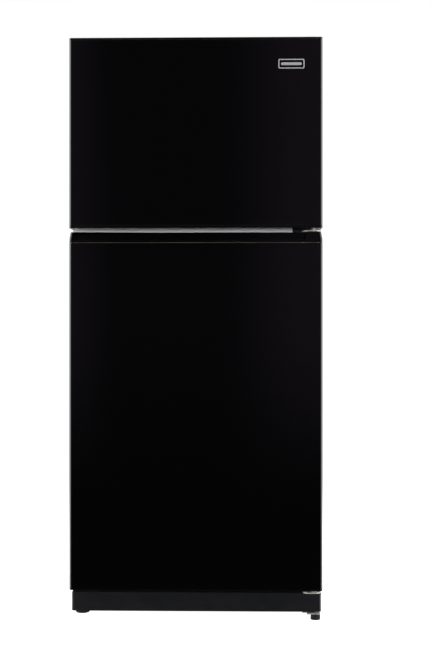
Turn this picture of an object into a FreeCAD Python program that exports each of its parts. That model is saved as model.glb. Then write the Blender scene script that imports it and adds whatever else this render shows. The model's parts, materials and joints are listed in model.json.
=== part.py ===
import FreeCAD, Part
import math
import os
import re
import Sketcher

# Top freezer refrigerator, doors hinged on the right. Millimetres, +Z up, the doors face -Y,
# and the origin is on the floor under the middle of the whole appliance.

SIZES = [
    ("overall_width", 700.0, "both doors"),
    ("door_top", 1619.0, "top of the freezer door"),
    ("freezer_door_low", 1092.5, "bottom of the freezer door"),
    ("fridge_door_high", 1081.5, "top of the lower door"),
    ("fridge_door_low", 92.0, "bottom of the lower door"),
    ("door_front", -345.0, "front face of both doors"),
    ("door_rear", -290.0, "back face of both doors"),
    ("liner_plate", 2.0, "thickness of a door liner"),
    ("gasket_face", -278.4, "where a gasket stops, just clear of the cabinet"),
    ("gasket_half", 318.0, "half of a gasket's width"),
    ("gasket_wide", 14.0, "width of a gasket's section"),
    ("cabinet_front", -278.0, "front edge of the cabinet"),
    ("cabinet_rear", 316.0, "back of the rear panel"),
    ("cabinet_half", 349.0, "half of the cabinet's width"),
    ("cabinet_top", 1620.0, "top of the cabinet"),
    ("cabinet_low", 30.0, "bottom of the side panels"),
    ("sheet_metal", 0.8, "panel steel"),
    ("opening_half", 300.0, "half of the width inside the foam"),
    ("ceiling", 1563.0, "foam above the freezer"),
    ("rail_high", 1111.0, "top of the mid rail"),
    ("rail_low", 1061.0, "bottom of the mid rail"),
    ("freezer_rear", 255.0, "foam behind the freezer"),
    ("fridge_rear", 262.0, "foam behind the fresh food space"),
    ("floor_low", 94.0, "underside of the floor foam"),
    ("sill_high", 146.0, "top of the sill"),
    ("hump_front", 90.0, "front of the step over the machine bay"),
    ("hump_top", 280.0, "top of the step over the machine bay"),
    ("bay_front", 138.0, "front of the machine bay"),
    ("bay_roof", 232.0, "roof of the machine bay"),
    ("liner_wall", 1.5, "cabinet liner"),
    ("liner_corner", 12.0, "inside corners of the liners"),
    ("door_corner", 7.0, "rounded upright edges of the doors"),
    ("hinge_x", 328.0, "pivot of both doors"),
    ("hinge_y", -317.0, "pivot of both doors"),
    ("pin_radius", 4.0, "hinge pins"),
    ("pin_reach", 13.0, "how far a hinge pin enters a door"),
    ("pin_play", 0.08, "play round a pin, in radius"),
    ("hinge_plate", 3.0, "hinge steel"),
    ("boss_deep", 18.0, "depth of a hinge boss inside a door"),
    ("shelf_high", 850.0, "upper glass shelf"),
    ("shelf_mid", 640.0, "lower glass shelf"),
    ("crisper_roof", 430.0, "glass over the crispers"),
    ("freezer_shelf_level", 1335.0, "wire shelf"),
    ("glass", 4.0, "shelf glass"),
    ("shelf_front", -185.0, "front edge of the shelves"),
    ("shelf_half", 296.0, "half of a shelf's width"),
    ("ledge_half", 290.0, "inner edge of the shelf ledges"),
    ("ledge_tall", 6.0, "height of a shelf ledge"),
    ("bin_half", 252.0, "half of a door bin's width"),
    ("bin_front", -288.0, "side of a bin next to the door"),
    ("bin_rear", -195.0, "side of a bin next to the shelves"),
    ("bin_wall", 2.5, "wall of bins and crispers"),
    ("bin_corner", 20.0, "rounded corners of the bins"),
    ("dike_inner", 255.0, "inner face of a door liner's ridge"),
    ("dike_outer", 285.0, "outer face of a door liner's ridge"),
    ("dike_rear", -246.0, "how far the ridge reaches into the cabinet"),
    ("dike_rail", 20.0, "height of the ridge's top and bottom rails"),
    ("crisper_front", -150.0, "front of the closed crispers"),
    ("kick_front", -305.0, "front of the kick plate"),
    ("kick_low", 25.0, "bottom of the kick plate"),
    ("kick_high", 79.0, "top of the kick plate"),
    ("bottom_leaf", 81.5, "underside of the bottom hinge leaf"),
    ("foot_shelf_low", 16.0, "underside of the shelf that holds the right foot"),
    ("kick_wall", 2.5, "wall of the kick plate"),
    ("foot_x", 330.0, "levelling feet"),
    ("left_foot_y", -218.0, "left levelling foot"),
    ("right_foot_y", -286.0, "right levelling foot, on the bottom hinge"),
    ("foot_stem", 4.0, "radius of a foot's threaded stem"),
    ("roller_x", 310.0, "middle of a rear roller"),
    ("roller_y", 270.0, "axle of the rear rollers"),
    ("roller_radius", 20.0, "rear rollers"),
    ("roller_half", 10.0, "half of a roller's width"),
    ("axle_radius", 3.0, "roller axles"),
    ("coil_y", 336.8, "plane of the condenser tube"),
    ("coil_radius", 2.5, "condenser tube"),
    ("wire_radius", 0.8, "condenser wires"),
    ("coil_half", 250.0, "half of the condenser's straight runs"),
    ("coil_low", 340.0, "lowest run of the condenser"),
    ("coil_pitch", 60.0, "distance between the runs"),
    ("fan_z", 1420.0, "evaporator fan's axis"),
    ("fan_radius", 52.0, "tips of the fan blades"),
    ("badge_left", 228.0, "plain name plate"),
    ("badge_right", 300.0, "plain name plate"),
    ("badge_low", 1531.0, "plain name plate"),
    ("badge_high", 1557.5, "plain name plate"),
    ("badge_thick", 0.8, "plain name plate"),
    ("compressor_x", -60.0, "compressor"),
    ("compressor_y", 227.0, "compressor"),
]
COIL_RUNS = 20
TINY = 1e-6

doc = FreeCAD.newDocument("refrigerator")
sheet = doc.addObject("Spreadsheet::Sheet", "Dims")
for row, (alias, size, note) in enumerate(SIZES, start=1):
    sheet.set(f"A{row}", str(size))
    sheet.setAlias(f"A{row}", alias)
    sheet.set(f"B{row}", note)
doc.recompute()
CELLS = {alias for alias, size, note in SIZES}
nodes = []


def bound(formula):
    """Points each cell name in a formula at the sheet."""
    return re.sub(r"[a-z][a-z_]+",
                  lambda word: "Dims." + word.group() if word.group() in CELLS else word.group(),
                  formula)


def cell(alias):
    """The number in a cell of the sheet."""
    return float(getattr(sheet, alias))


def node(thing, label):
    """Keeps a sub-part under its own label."""
    thing.Label = label
    nodes.append(thing)
    return thing


# ---- Part primitives ----

def block(name, x, y, z):
    """A box between three pairs of formulas."""
    box = doc.addObject("Part::Box", name)
    for size, (low, high) in zip(("Length", "Width", "Height"), (x, y, z)):
        box.setExpression(size, bound(f"({high}) - ({low})"))
    for axis, (low, high) in zip("xyz", (x, y, z)):
        box.setExpression(f"Placement.Base.{axis}", bound(low))
    return box


TURNS = {
    "X": FreeCAD.Rotation(FreeCAD.Vector(0, 1, 0), 90),
    "Y": FreeCAD.Rotation(FreeCAD.Vector(1, 0, 0), -90),
    "Z": FreeCAD.Rotation(),
}


def rod(name, axis, start, length, radius):
    """A cylinder that runs from a start point along X, Y or Z."""
    cylinder = doc.addObject("Part::Cylinder", name)
    cylinder.Placement = FreeCAD.Placement(FreeCAD.Vector(), TURNS[axis])
    cylinder.setExpression("Radius", bound(radius))
    cylinder.setExpression("Height", bound(length))
    for letter, formula in zip("xyz", start):
        cylinder.setExpression(f"Placement.Base.{letter}", bound(formula))
    return cylinder


def fuse(name, things):
    """One solid from several overlapping ones."""
    joined = doc.addObject("Part::MultiFuse", name)
    joined.Shapes = things
    joined.Refine = True
    return joined


def minus(name, base, tool):
    """One solid with another taken out of it."""
    rest = doc.addObject("Part::Cut", name)
    rest.Base = base
    rest.Tool = tool
    return rest


def group(label, things):
    """Several separate solids that share one node."""
    together = doc.addObject("Part::Compound", label + "_group")
    together.Links = things
    return node(together, label)


# ---- PartDesign bodies ----

def new_body(label):
    return node(doc.addObject("PartDesign::Body", label + "_body"), label)


def sketch_at(body, name, axis, corner):
    """An empty sketch square to an axis, with its own origin at a point given by formulas."""
    role, order, sign = {"X": ("YZ_Plane", (1, 2, 0), ""), "Y": ("XZ_Plane", (0, 2, 1), "-"),
                         "Z": ("XY_Plane", (0, 1, 2), "")}[axis]
    sketch = body.newObject("Sketcher::SketchObject", name)
    plane = next(feature for feature in body.Origin.OriginFeatures if feature.Role == role)
    sketch.AttachmentSupport = (plane, [""])
    sketch.MapMode = "FlatFace"
    formulas = [corner[index] for index in order]
    sketch.setExpression("AttachmentOffset.Base.x", bound(formulas[0]))
    sketch.setExpression("AttachmentOffset.Base.y", bound(formulas[1]))
    sketch.setExpression("AttachmentOffset.Base.z", bound(f"{sign}({formulas[2]})"))
    return sketch


def drive(sketch, constraint, name, formula):
    """Adds a constraint whose size comes from a formula."""
    index = sketch.addConstraint(constraint)
    sketch.renameConstraint(index, name)
    sketch.setExpression("Constraints." + name, bound(formula))


def rectangle(sketch, wide, tall):
    corners = [FreeCAD.Vector(0, 0), FreeCAD.Vector(1, 0), FreeCAD.Vector(1, 1), FreeCAD.Vector(0, 1)]
    for index in range(4):
        sketch.addGeometry(Part.LineSegment(corners[index], corners[(index + 1) % 4]), False)
    for index, kind in enumerate(("Horizontal", "Vertical", "Horizontal", "Vertical")):
        sketch.addConstraint(Sketcher.Constraint("Coincident", index, 2, (index + 1) % 4, 1))
        sketch.addConstraint(Sketcher.Constraint(kind, index))
    sketch.addConstraint(Sketcher.Constraint("Coincident", 0, 1, -1, 1))
    drive(sketch, Sketcher.Constraint("DistanceX", 0, 1, 0, 2, 1.0), "wide", wide)
    drive(sketch, Sketcher.Constraint("DistanceY", 1, 1, 1, 2, 1.0), "tall", tall)


def extrude(body, name, sketch, length, remove):
    """Pads a sketch, or pockets it towards the side that a pad would fill."""
    feature = body.newObject("PartDesign::Pocket" if remove else "PartDesign::Pad", name)
    feature.Profile = sketch
    feature.Reversed = remove
    feature.setExpression("Length", bound(length))
    body.Tip = feature
    return feature


def grow(body, name, x, y, z, remove=False):
    """Adds a box between three pairs of formulas to a body."""
    sketch = sketch_at(body, name + "_outline", "Z", (x[0], y[0], z[0]))
    rectangle(sketch, f"({x[1]}) - ({x[0]})", f"({y[1]}) - ({y[0]})")
    return extrude(body, name, sketch, f"({z[1]}) - ({z[0]})", remove)


def carve(body, name, x, y, z):
    """Takes a box between three pairs of formulas out of a body."""
    return grow(body, name, x, y, z, remove=True)


def grow_rod(body, name, axis, start, length, radius, remove=False):
    """Adds a cylinder that runs from a start point along an axis to a body."""
    at = (start[0], f"({start[1]}) + ({length})", start[2]) if axis == "Y" else start
    sketch = sketch_at(body, name + "_circle", axis, at)
    sketch.addGeometry(Part.Circle(FreeCAD.Vector(), FreeCAD.Vector(0, 0, 1), 1.0), False)
    sketch.addConstraint(Sketcher.Constraint("Coincident", 0, 3, -1, 1))
    drive(sketch, Sketcher.Constraint("Radius", 0, 1.0), "round", radius)
    return extrude(body, name, sketch, length, remove)


def drill(body, name, axis, start, length, radius):
    """Takes a cylinder out of a body."""
    return grow_rod(body, name, axis, start, length, radius, remove=True)


def turned(body, name, axis, points):
    """Turns a closed outline of (radius, height) formulas about its own upright axis."""
    sketch = sketch_at(body, name + "_outline", "Y" if axis == "Z" else "Z", ("0", "0", "0"))
    count = len(points)
    for index in range(count):
        after = (index + 1) % count
        sketch.addGeometry(Part.LineSegment(FreeCAD.Vector(index + 1, index * index),
                                            FreeCAD.Vector(after + 1, after * after)), False)
    for index in range(count):
        sketch.addConstraint(Sketcher.Constraint("Coincident", index, 2, (index + 1) % count, 1))
    for index, (radius, height) in enumerate(points):
        if radius == "0":
            sketch.addConstraint(Sketcher.Constraint("PointOnObject", index, 1, -2))
        else:
            drive(sketch, Sketcher.Constraint("DistanceX", -1, 1, index, 1, 1.0), f"radius{index}", radius)
        if height == "0":
            sketch.addConstraint(Sketcher.Constraint("PointOnObject", index, 1, -1))
        else:
            drive(sketch, Sketcher.Constraint("DistanceY", -1, 1, index, 1, 1.0), f"height{index}", height)
    feature = body.newObject("PartDesign::Revolution", name)
    feature.Profile = sketch
    feature.ReferenceAxis = (sketch, ["V_Axis"])
    feature.Angle = 360.0
    body.Tip = feature
    return feature


def row_of(body, name, feature, direction, length, count):
    """Repeats a feature along the H or V axis of its own sketch."""
    pattern = body.newObject("PartDesign::LinearPattern", name)
    pattern.Originals = [feature]
    pattern.Direction = (feature.Profile[0], [direction])
    pattern.setExpression("Length", bound(length))
    pattern.Occurrences = count
    body.Tip = pattern
    return pattern


def round_edges(body, name, radius, along, wanted):
    """Rounds the edges of a body that run along an axis and whose ends both satisfy a test."""
    doc.recompute()
    base = body.Tip
    across = [letter for letter in "xyz" if letter != along.lower()] if along else []
    chosen = []
    for index, edge in enumerate(base.Shape.Edges, start=1):
        ends = [vertex.Point for vertex in edge.Vertexes]
        straight = len(ends) == 2 and all(near(getattr(ends[0], axis),
                                               getattr(ends[1], axis)) for axis in across)
        if straight and all(wanted(point) for point in ends):
            chosen.append(f"Edge{index}")
    if not chosen:
        raise ValueError(f"{name}: no edge to round")
    feature = body.newObject("PartDesign::Fillet", name)
    feature.Base = (base, chosen)
    feature.setExpression("Radius", bound(radius))
    body.Tip = feature


def near(number, target):
    return abs(number - target) < TINY


def upright(x, y):
    """A test for upright edges at plus and minus x and at y."""
    return lambda point: near(abs(point.x), abs(x)) and near(point.y, y)


def tube(points, bend, radius):
    """A tube along straight runs joined by arcs of one bend radius."""
    corners = [FreeCAD.Vector(*point) for point in points]
    edges = []
    start = corners[0]
    for before, corner, after in zip(corners, corners[1:], corners[2:]):
        back = (before - corner).normalize()
        on = (after - corner).normalize()
        half_turn = back.getAngle(on) / 2
        reach = bend / math.tan(half_turn)
        middle = corner + (back + on).normalize() * (bend / math.sin(half_turn) - bend)
        edges.append(Part.makeLine(start, corner + back * reach))
        edges.append(Part.Arc(corner + back * reach, middle, corner + on * reach).toShape())
        start = corner + on * reach
    edges.append(Part.makeLine(start, corners[-1]))
    path = Part.Wire(edges)
    ring = Part.Wire([Part.makeCircle(radius, corners[0], corners[1] - corners[0])])
    return path.makePipeShell([ring], True, False)


def shaped(label, shape):
    """A sub-part whose shape is worked out here."""
    feature = doc.addObject("Part::Feature", label + "_shape")
    feature.Shape = shape
    feature.Placement = FreeCAD.Placement()
    return node(feature, label)


# ---- Cabinet ----

HALF = ("-cabinet_half", "cabinet_half")
INSIDE = ("-opening_half", "opening_half")
SKIN_HALF = "cabinet_half - sheet_metal"
FRONT_STEEL = ("cabinet_front", "cabinet_front + sheet_metal")
FOAM_FRONT = "cabinet_front + sheet_metal"
FOAM_REAR = "cabinet_rear - sheet_metal"
SIDES = (("left", -1), ("right", 1))


def mirrored(side, low, high):
    """A pair of formulas for the left or the right side, lowest first."""
    return (low, high) if side > 0 else (f"-({high})", f"-({low})")


def side_panel(name, side):
    panel = new_body(f"side_panel_{name}")
    height = ("cabinet_low", "cabinet_top - sheet_metal")
    grow(panel, f"{name}_wall", mirrored(side, SKIN_HALF, "cabinet_half"), ("cabinet_front", "cabinet_rear"),
         height)
    grow(panel, f"{name}_flange", mirrored(side, "opening_half", SKIN_HALF), FRONT_STEEL, height)


def top_panel():
    panel = new_body("top_panel")
    grow(panel, "top_sheet", HALF, ("cabinet_front", "cabinet_rear"),
         ("cabinet_top - sheet_metal", "cabinet_top"))
    grow(panel, "top_flange", INSIDE, FRONT_STEEL, ("ceiling", "cabinet_top - sheet_metal"))


def rear_panel():
    panel = new_body("rear_panel")
    grow(panel, "rear_sheet", (f"-({SKIN_HALF})", SKIN_HALF), (FOAM_REAR, "cabinet_rear"),
         ("bay_roof", "cabinet_top - sheet_metal"))
    # Three shallow beads stiffen the sheet between the condenser's supports.
    for index in range(3):
        offset = f"{(index - 1) * 160}"
        grow(panel, f"rear_bead_{index}", (f"{offset} - 10", f"{offset} + 10"),
             ("cabinet_rear", "cabinet_rear + 2"),
             ("bay_roof + 60", "cabinet_top - 60"))


def cabinet_insulation():
    top = "cabinet_top - sheet_metal"
    bodies = []
    for name, side in SIDES:
        bodies.append(block(f"foam_{name}", mirrored(side, "opening_half", SKIN_HALF),
                            (FOAM_FRONT, FOAM_REAR),
                            ("floor_low", top)))
    bodies.append(block("foam_top", INSIDE, (FOAM_FRONT, FOAM_REAR), ("ceiling", top)))
    bodies.append(block("foam_divider", INSIDE, ("cabinet_front + 2", FOAM_REAR), ("rail_low", "rail_high")))
    bodies.append(block("foam_freezer_rear", INSIDE, ("freezer_rear", FOAM_REAR), ("rail_high", "ceiling")))
    bodies.append(block("foam_fridge_rear", INSIDE, ("fridge_rear", FOAM_REAR), ("hump_top", "rail_low")))
    bodies.append(block("foam_floor", INSIDE, (FOAM_FRONT, "hump_front"), ("floor_low", "sill_high")))
    bodies.append(block("foam_riser", INSIDE, ("hump_front", "bay_front"), ("floor_low", "hump_top")))
    bodies.append(block("foam_roof", INSIDE, ("bay_front", FOAM_REAR), ("bay_roof", "hump_top")))
    group("cabinet_insulation", bodies)


def shelf_ledges(liner, prefix, level, y):
    for name, side in SIDES:
        grow(liner, f"{prefix}_ledge_{name}", mirrored(side, "ledge_half", "opening_half - liner_wall / 2"),
             y,
             (f"{level} - ledge_tall", level))


def freezer_liner():
    liner = new_body("freezer_liner")
    grow(liner, "freezer_box", INSIDE, ("cabinet_front", "freezer_rear"), ("rail_high", "ceiling"))
    inner = ("-opening_half + liner_wall", "opening_half - liner_wall")
    carve(liner, "freezer_space", inner, ("cabinet_front - 1", "freezer_rear - liner_wall"),
          ("rail_high + liner_wall", "ceiling - liner_wall"))
    wall = cell("opening_half") - cell("liner_wall")
    levels = (cell("rail_high") + cell("liner_wall"), cell("ceiling") - cell("liner_wall"))
    round_edges(liner, "freezer_corners", "liner_corner", "Y",
                lambda point: near(abs(point.x), wall) and any(near(point.z, level) for level in levels))
    shelf_ledges(liner, "freezer", "freezer_shelf_level", ("-160", "190"))


def fridge_liner():
    liner = new_body("fridge_liner")
    grow(liner, "fridge_box", INSIDE, ("cabinet_front", "fridge_rear"), ("hump_top", "rail_low"))
    grow(liner, "fridge_well", INSIDE, ("cabinet_front", "hump_front"), ("sill_high", "hump_top + 10"))
    inner = ("-opening_half + liner_wall", "opening_half - liner_wall")
    carve(liner, "fridge_space", inner, ("cabinet_front - 1", "fridge_rear - liner_wall"),
          ("hump_top + liner_wall", "rail_low - liner_wall"))
    carve(liner, "well_space", inner, ("cabinet_front - 1", "hump_front - liner_wall"),
          ("sill_high + liner_wall", "hump_top + 20"))
    wall = cell("opening_half") - cell("liner_wall")
    levels = (cell("sill_high") + cell("liner_wall"), cell("rail_low") - cell("liner_wall"))
    round_edges(liner, "fridge_corners", "liner_corner", "Y",
                lambda point: near(abs(point.x), wall) and any(near(point.z, level) for level in levels))
    for prefix, level in (("high", "shelf_high"), ("middle", "shelf_mid"), ("low", "crisper_roof")):
        shelf_ledges(liner, prefix, level, ("-180", "250"))


def mid_rail():
    rail = new_body("mid_rail")
    grow(rail, "rail_plate", INSIDE, ("cabinet_front", "cabinet_front + 2"), ("rail_low", "rail_high"))
    # A pale strip closes the gap between the doors, with a joint near its left end.
    level = ("fridge_door_high + 1", "freezer_door_low + 5")
    grow(rail, "strip_base", ("-cabinet_half + 1", "270"), ("cabinet_front - 1", "cabinet_front"), level)
    proud = ("cabinet_front - 2.4", "cabinet_front - 0.5")
    grow(rail, "strip_end", ("-cabinet_half + 1", "-338.5"), proud, level)
    grow(rail, "strip_face", ("-336.5", "270"), proud, level)


def base_frame():
    frame = new_body("base_frame")
    wide = (f"-({SKIN_HALF})", SKIN_HALF)
    grow(frame, "sill_plate", INSIDE, FRONT_STEEL, ("60", "sill_high"))
    grow(frame, "pan", wide, (FOAM_FRONT, "bay_front"), ("floor_low - sheet_metal", "floor_low"))
    grow(frame, "bay_wall", INSIDE, ("bay_front", "bay_front + sheet_metal"), ("40", "bay_roof"))
    grow(frame, "bay_foot", wide, ("bay_front - 20", "bay_front + sheet_metal"), ("40", "floor_low"))
    grow(frame, "tray", wide, ("bay_front", "cabinet_rear - 4"), ("40", "42"))
    grow(frame, "bay_ceiling", INSIDE, ("bay_front", FOAM_REAR), ("bay_roof - sheet_metal", "bay_roof"))
    for name, side in SIDES:
        grow(frame, f"bay_side_{name}", mirrored(side, "opening_half - sheet_metal", "opening_half"),
             ("bay_front", FOAM_REAR), ("41", "bay_roof"))
        grow(frame, f"bay_post_{name}", mirrored(side, "opening_half - sheet_metal", SKIN_HALF),
             (FOAM_REAR, "cabinet_rear"), ("41", "bay_roof"))
    for name, side in SIDES:
        grow(frame, f"rail_{name}", mirrored(side, "300", SKIN_HALF), ("-270", "bay_front"), ("40", "42"))
        grow(frame, f"web_{name}", mirrored(side, f"{SKIN_HALF} - sheet_metal", SKIN_HALF),
             ("-270", "bay_front"),
             ("40", "floor_low"))
        for cheek, low in (("inner", "roller_x - roller_half - 4"), ("outer", "roller_x + roller_half + 2")):
            grow(frame, f"cheek_{name}_{cheek}", mirrored(side, low, f"{low} + 2"),
                 ("roller_y - 15", "roller_y + 15"), ("roller_radius - 8", "41"))
        low, high = mirrored(side, "roller_x - roller_half - 5", "roller_x + roller_half + 5")
        grow_rod(frame, f"axle_{name}", "X", (low, "roller_y", "roller_radius"), f"({high}) - ({low})",
                 "axle_radius")
    carve(frame, "roller_slots_left", ("-roller_x - roller_half - 1.5", "-roller_x + roller_half + 1.5"),
          ("roller_y - 13", "roller_y + 13"), ("39", "43"))
    carve(frame, "roller_slots_right", ("roller_x - roller_half - 1.5", "roller_x + roller_half + 1.5"),
          ("roller_y - 13", "roller_y + 13"), ("39", "43"))
    drill(frame, "foot_hole", "Z", ("-foot_x", "left_foot_y", "39"), "4", "foot_stem + 0.3")


def kick_plate():
    kick = new_body("kick_plate")
    grow(kick, "kick_block", HALF, ("kick_front", "cabinet_front - 1"), ("kick_low", "kick_high"))
    round_edges(kick, "kick_corners", "6", "Z", upright(cell("cabinet_half"), cell("kick_front")))
    brow = cell("kick_high")
    corner_end = cell("kick_front") + 10
    round_edges(kick, "kick_brow", "4", None, lambda point: near(point.z, brow) and point.y < corner_end)
    carve(kick, "kick_hollow", ("-cabinet_half + kick_wall", "cabinet_half - kick_wall"),
          ("kick_front + kick_wall", "cabinet_front"), ("kick_low - 1", "kick_high - kick_wall"))
    # The bottom hinge's upright leaf stands in a notch in the top wall.
    carve(kick, "hinge_notch", ("296", "cabinet_half - kick_wall"),
          ("cabinet_front - hinge_plate - 0.3", "cabinet_front"),
          ("kick_high - kick_wall - 1", "kick_high + 1"))


# ---- Hinges and their screws ----

PLATE_SIDE = ("297", "347")
NOSE = ("hinge_y - pin_radius - 9", "cabinet_front")


def nosed_plate(body, name, x, y, z, radius):
    """A flat hinge leaf with a rounded nose round the pivot."""
    grow(body, name, x, y, z)
    nose = cell("hinge_y") - cell("pin_radius") - 9
    round_edges(body, name + "_nose", radius, "Z", lambda point: near(point.y, nose))


def top_hinge():
    hinge = new_body("top_hinge")
    low = "cabinet_top"
    nosed_plate(hinge, "top_leaf", ("293", "346"), (NOSE[0], "cabinet_front + 62"),
                (low, f"{low} + hinge_plate"), "17")
    grow_rod(hinge, "top_pin", "Z", ("hinge_x", "hinge_y", "door_top - pin_reach"),
             "cabinet_top - door_top + pin_reach + 1", "pin_radius")
    for index, (x, y) in enumerate(TOP_SCREWS):
        drill(hinge, f"top_hole_{index}", "Z", (x, y, f"{low} - 1"), "hinge_plate + 2", "2.5")


def middle_hinge():
    hinge = new_body("middle_hinge")
    low = "fridge_door_high + 2.75"
    nosed_plate(hinge, "middle_leaf", PLATE_SIDE, NOSE, (low, f"{low} + hinge_plate"), "17")
    grow(hinge, "middle_tab", ("321", "347"), ("cabinet_front - hinge_plate", "cabinet_front"),
         ("1062", "1108"))
    grow_rod(hinge, "middle_pins", "Z", ("hinge_x", "hinge_y", "fridge_door_high - pin_reach"),
             "freezer_door_low - fridge_door_high + 2 * pin_reach", "pin_radius")
    for index, (x, z) in enumerate(MIDDLE_SCREWS):
        drill(hinge, f"middle_hole_{index}", "Y", (x, "cabinet_front - hinge_plate - 1", z),
              "hinge_plate + 2", "4")


def bottom_hinge():
    hinge = new_body("bottom_hinge")
    top = "bottom_leaf + hinge_plate"
    nosed_plate(hinge, "low_leaf", PLATE_SIDE, NOSE, ("bottom_leaf", top), "17")
    grow(hinge, "bottom_back", ("297", "346"), ("cabinet_front - hinge_plate", "cabinet_front"),
         ("foot_shelf_low", top))
    grow(hinge, "foot_shelf", ("310", "346"), ("right_foot_y - 13", "cabinet_front"),
         ("foot_shelf_low", "foot_shelf_low + hinge_plate"))
    grow_rod(hinge, "bottom_pin", "Z", ("hinge_x", "hinge_y", f"{top} - 1"),
             f"fridge_door_low + pin_reach - ({top}) + 1", "pin_radius")
    grow_rod(hinge, "bottom_washer", "Z", ("hinge_x", "hinge_y", f"{top} - 1"),
             f"fridge_door_low - ({top}) + 0.8",
             "pin_radius + 3.5")
    drill(hinge, "foot_thread", "Z", ("foot_x + 4", "right_foot_y", "foot_shelf_low - 1"), "5",
          "foot_stem + 0.3")
    for index, (x, z) in enumerate(BOTTOM_SCREWS):
        drill(hinge, f"bottom_hole_{index}", "Y", (x, "cabinet_front - hinge_plate - 1", z),
              "hinge_plate + 2", "2.5")


TOP_SCREWS = (("306", "-260"), ("333", "-260"), ("319", "-228"))
MIDDLE_SCREWS = (("335", "1071"), ("335", "1099"))
BOTTOM_SCREWS = (("308", "45"), ("335", "45"), ("321", "66"))


def screw(name, axis, head_start, head_long, head_radius, shank_start, shank_long, socket_start):
    """A screw with a round head and a hexagon socket."""
    head = rod(name + "_head", axis, head_start, head_long, head_radius)
    parts = [head]
    if shank_long != "0":
        parts.append(rod(name + "_shank", axis, shank_start, shank_long, "2.45"))
    whole = fuse(name + "_whole", parts) if len(parts) > 1 else head
    socket = doc.addObject("Part::Prism", name + "_socket")
    socket.Polygon = 6
    socket.Circumradius = 2.0
    socket.Height = 3.0
    socket.Placement = FreeCAD.Placement(FreeCAD.Vector(), TURNS[axis])
    for letter, formula in zip("xyz", socket_start):
        socket.setExpression(f"Placement.Base.{letter}", bound(formula))
    return minus(name, whole, socket)


def hinge_screws():
    screws = []
    plate_top = "cabinet_top + hinge_plate"
    for index, (x, y) in enumerate(TOP_SCREWS):
        screws.append(screw(f"top_screw_{index}", "Z", (x, y, plate_top), "2.5", "5", (x, y, "cabinet_top"),
                            "hinge_plate + 1", (x, y, f"{plate_top} + 1")))
    plate_face = "cabinet_front - hinge_plate"
    for index, (x, z) in enumerate(MIDDLE_SCREWS):
        screws.append(screw(f"middle_screw_{index}", "Y", (x, plate_face, z), "hinge_plate", "4", None, "0",
                            (x, f"{plate_face} - 1.5", z)))
    for index, (x, z) in enumerate(BOTTOM_SCREWS):
        screws.append(screw(f"bottom_screw_{index}", "Y", (x, f"{plate_face} - 2.5", z), "2.5", "5",
                            (x, f"{plate_face} - 1", z), "hinge_plate + 1", (x, f"{plate_face} - 4", z)))
    group("hinge_screws", screws)


def top_hinge_cover():
    cover = new_body("top_hinge_cover")
    grow(cover, "cover_block", ("287", "347"), ("cabinet_front - 20", "cabinet_front + 72"),
         ("cabinet_top + 0.2", "cabinet_top + 10"))
    front = cell("cabinet_front") - 20
    round_edges(cover, "cover_corners", "5", "Z", lambda point: near(point.y, front))
    carve(cover, "cover_hollow", ("289", "346.5"), ("cabinet_front - 18", "cabinet_front + 70"),
          ("cabinet_top", "cabinet_top + 8"))
    carve(cover, "cover_slot", ("289", "346.5"), ("cabinet_front - 21", "cabinet_front - 17"),
          ("cabinet_top", "cabinet_top + hinge_plate + 0.3"))


# ---- Cooling ----

def compressor():
    body = new_body("compressor")
    turned(body, "dome", "Z", [("0", "17"), ("66", "17"), ("72", "26"), ("75", "60"), ("75", "110"),
                               ("70", "138"),
                               ("52", "156"), ("24", "163"), ("0", "163")])
    grow(body, "mounting_plate", ("-92", "92"), ("-62", "62"), ("14", "17.5"))
    for index, (x, y) in enumerate(MOUNTS):
        drill(body, f"mount_hole_{index}", "Z", (f"{x}", f"{y}", "13"), "6", "6")
    body.setExpression("Placement.Base.x", bound("compressor_x"))
    body.setExpression("Placement.Base.y", bound("compressor_y"))
    body.setExpression("Placement.Base.z", "42")


MOUNTS = [(x, y) for x in (-80, 80) for y in (-50, 50)]


def compressor_mounts():
    grommets = []
    for index, (x, y) in enumerate(MOUNTS):
        start = (f"compressor_x + {x}", f"compressor_y + {y}")
        base = rod(f"grommet_base_{index}", "Z", (*start, "42"), "14", "10")
        neck = rod(f"grommet_neck_{index}", "Z", (*start, "55"), "6", "5.9")
        grommets.append(fuse(f"grommet_{index}", [base, neck]))
    group("compressor_mounts", grommets)


def terminal_cover():
    cover = new_body("terminal_cover")
    grow(cover, "terminal_box", ("compressor_x - 118", "compressor_x - 77"),
         ("compressor_y - 28", "compressor_y + 28"),
         ("98", "158"))
    side = cell("compressor_x") - 118
    round_edges(cover, "terminal_corners", "6", "Z", lambda point: near(point.x, side))


def coil_points():
    """Corners of the condenser tube: level runs joined by U turns."""
    half = cell("coil_half") + cell("coil_pitch") / 2
    points = []
    for run in range(COIL_RUNS):
        side = -half if run % 2 == 0 else half
        height = cell("coil_low") + run * cell("coil_pitch")
        points.append((side, cell("coil_y"), height))
        points.append((-side, cell("coil_y"), height))
    return points


def condenser_coil():
    shaped("condenser_coil", tube(coil_points(), cell("coil_pitch") / 2 - 0.01, cell("coil_radius")))


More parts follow.
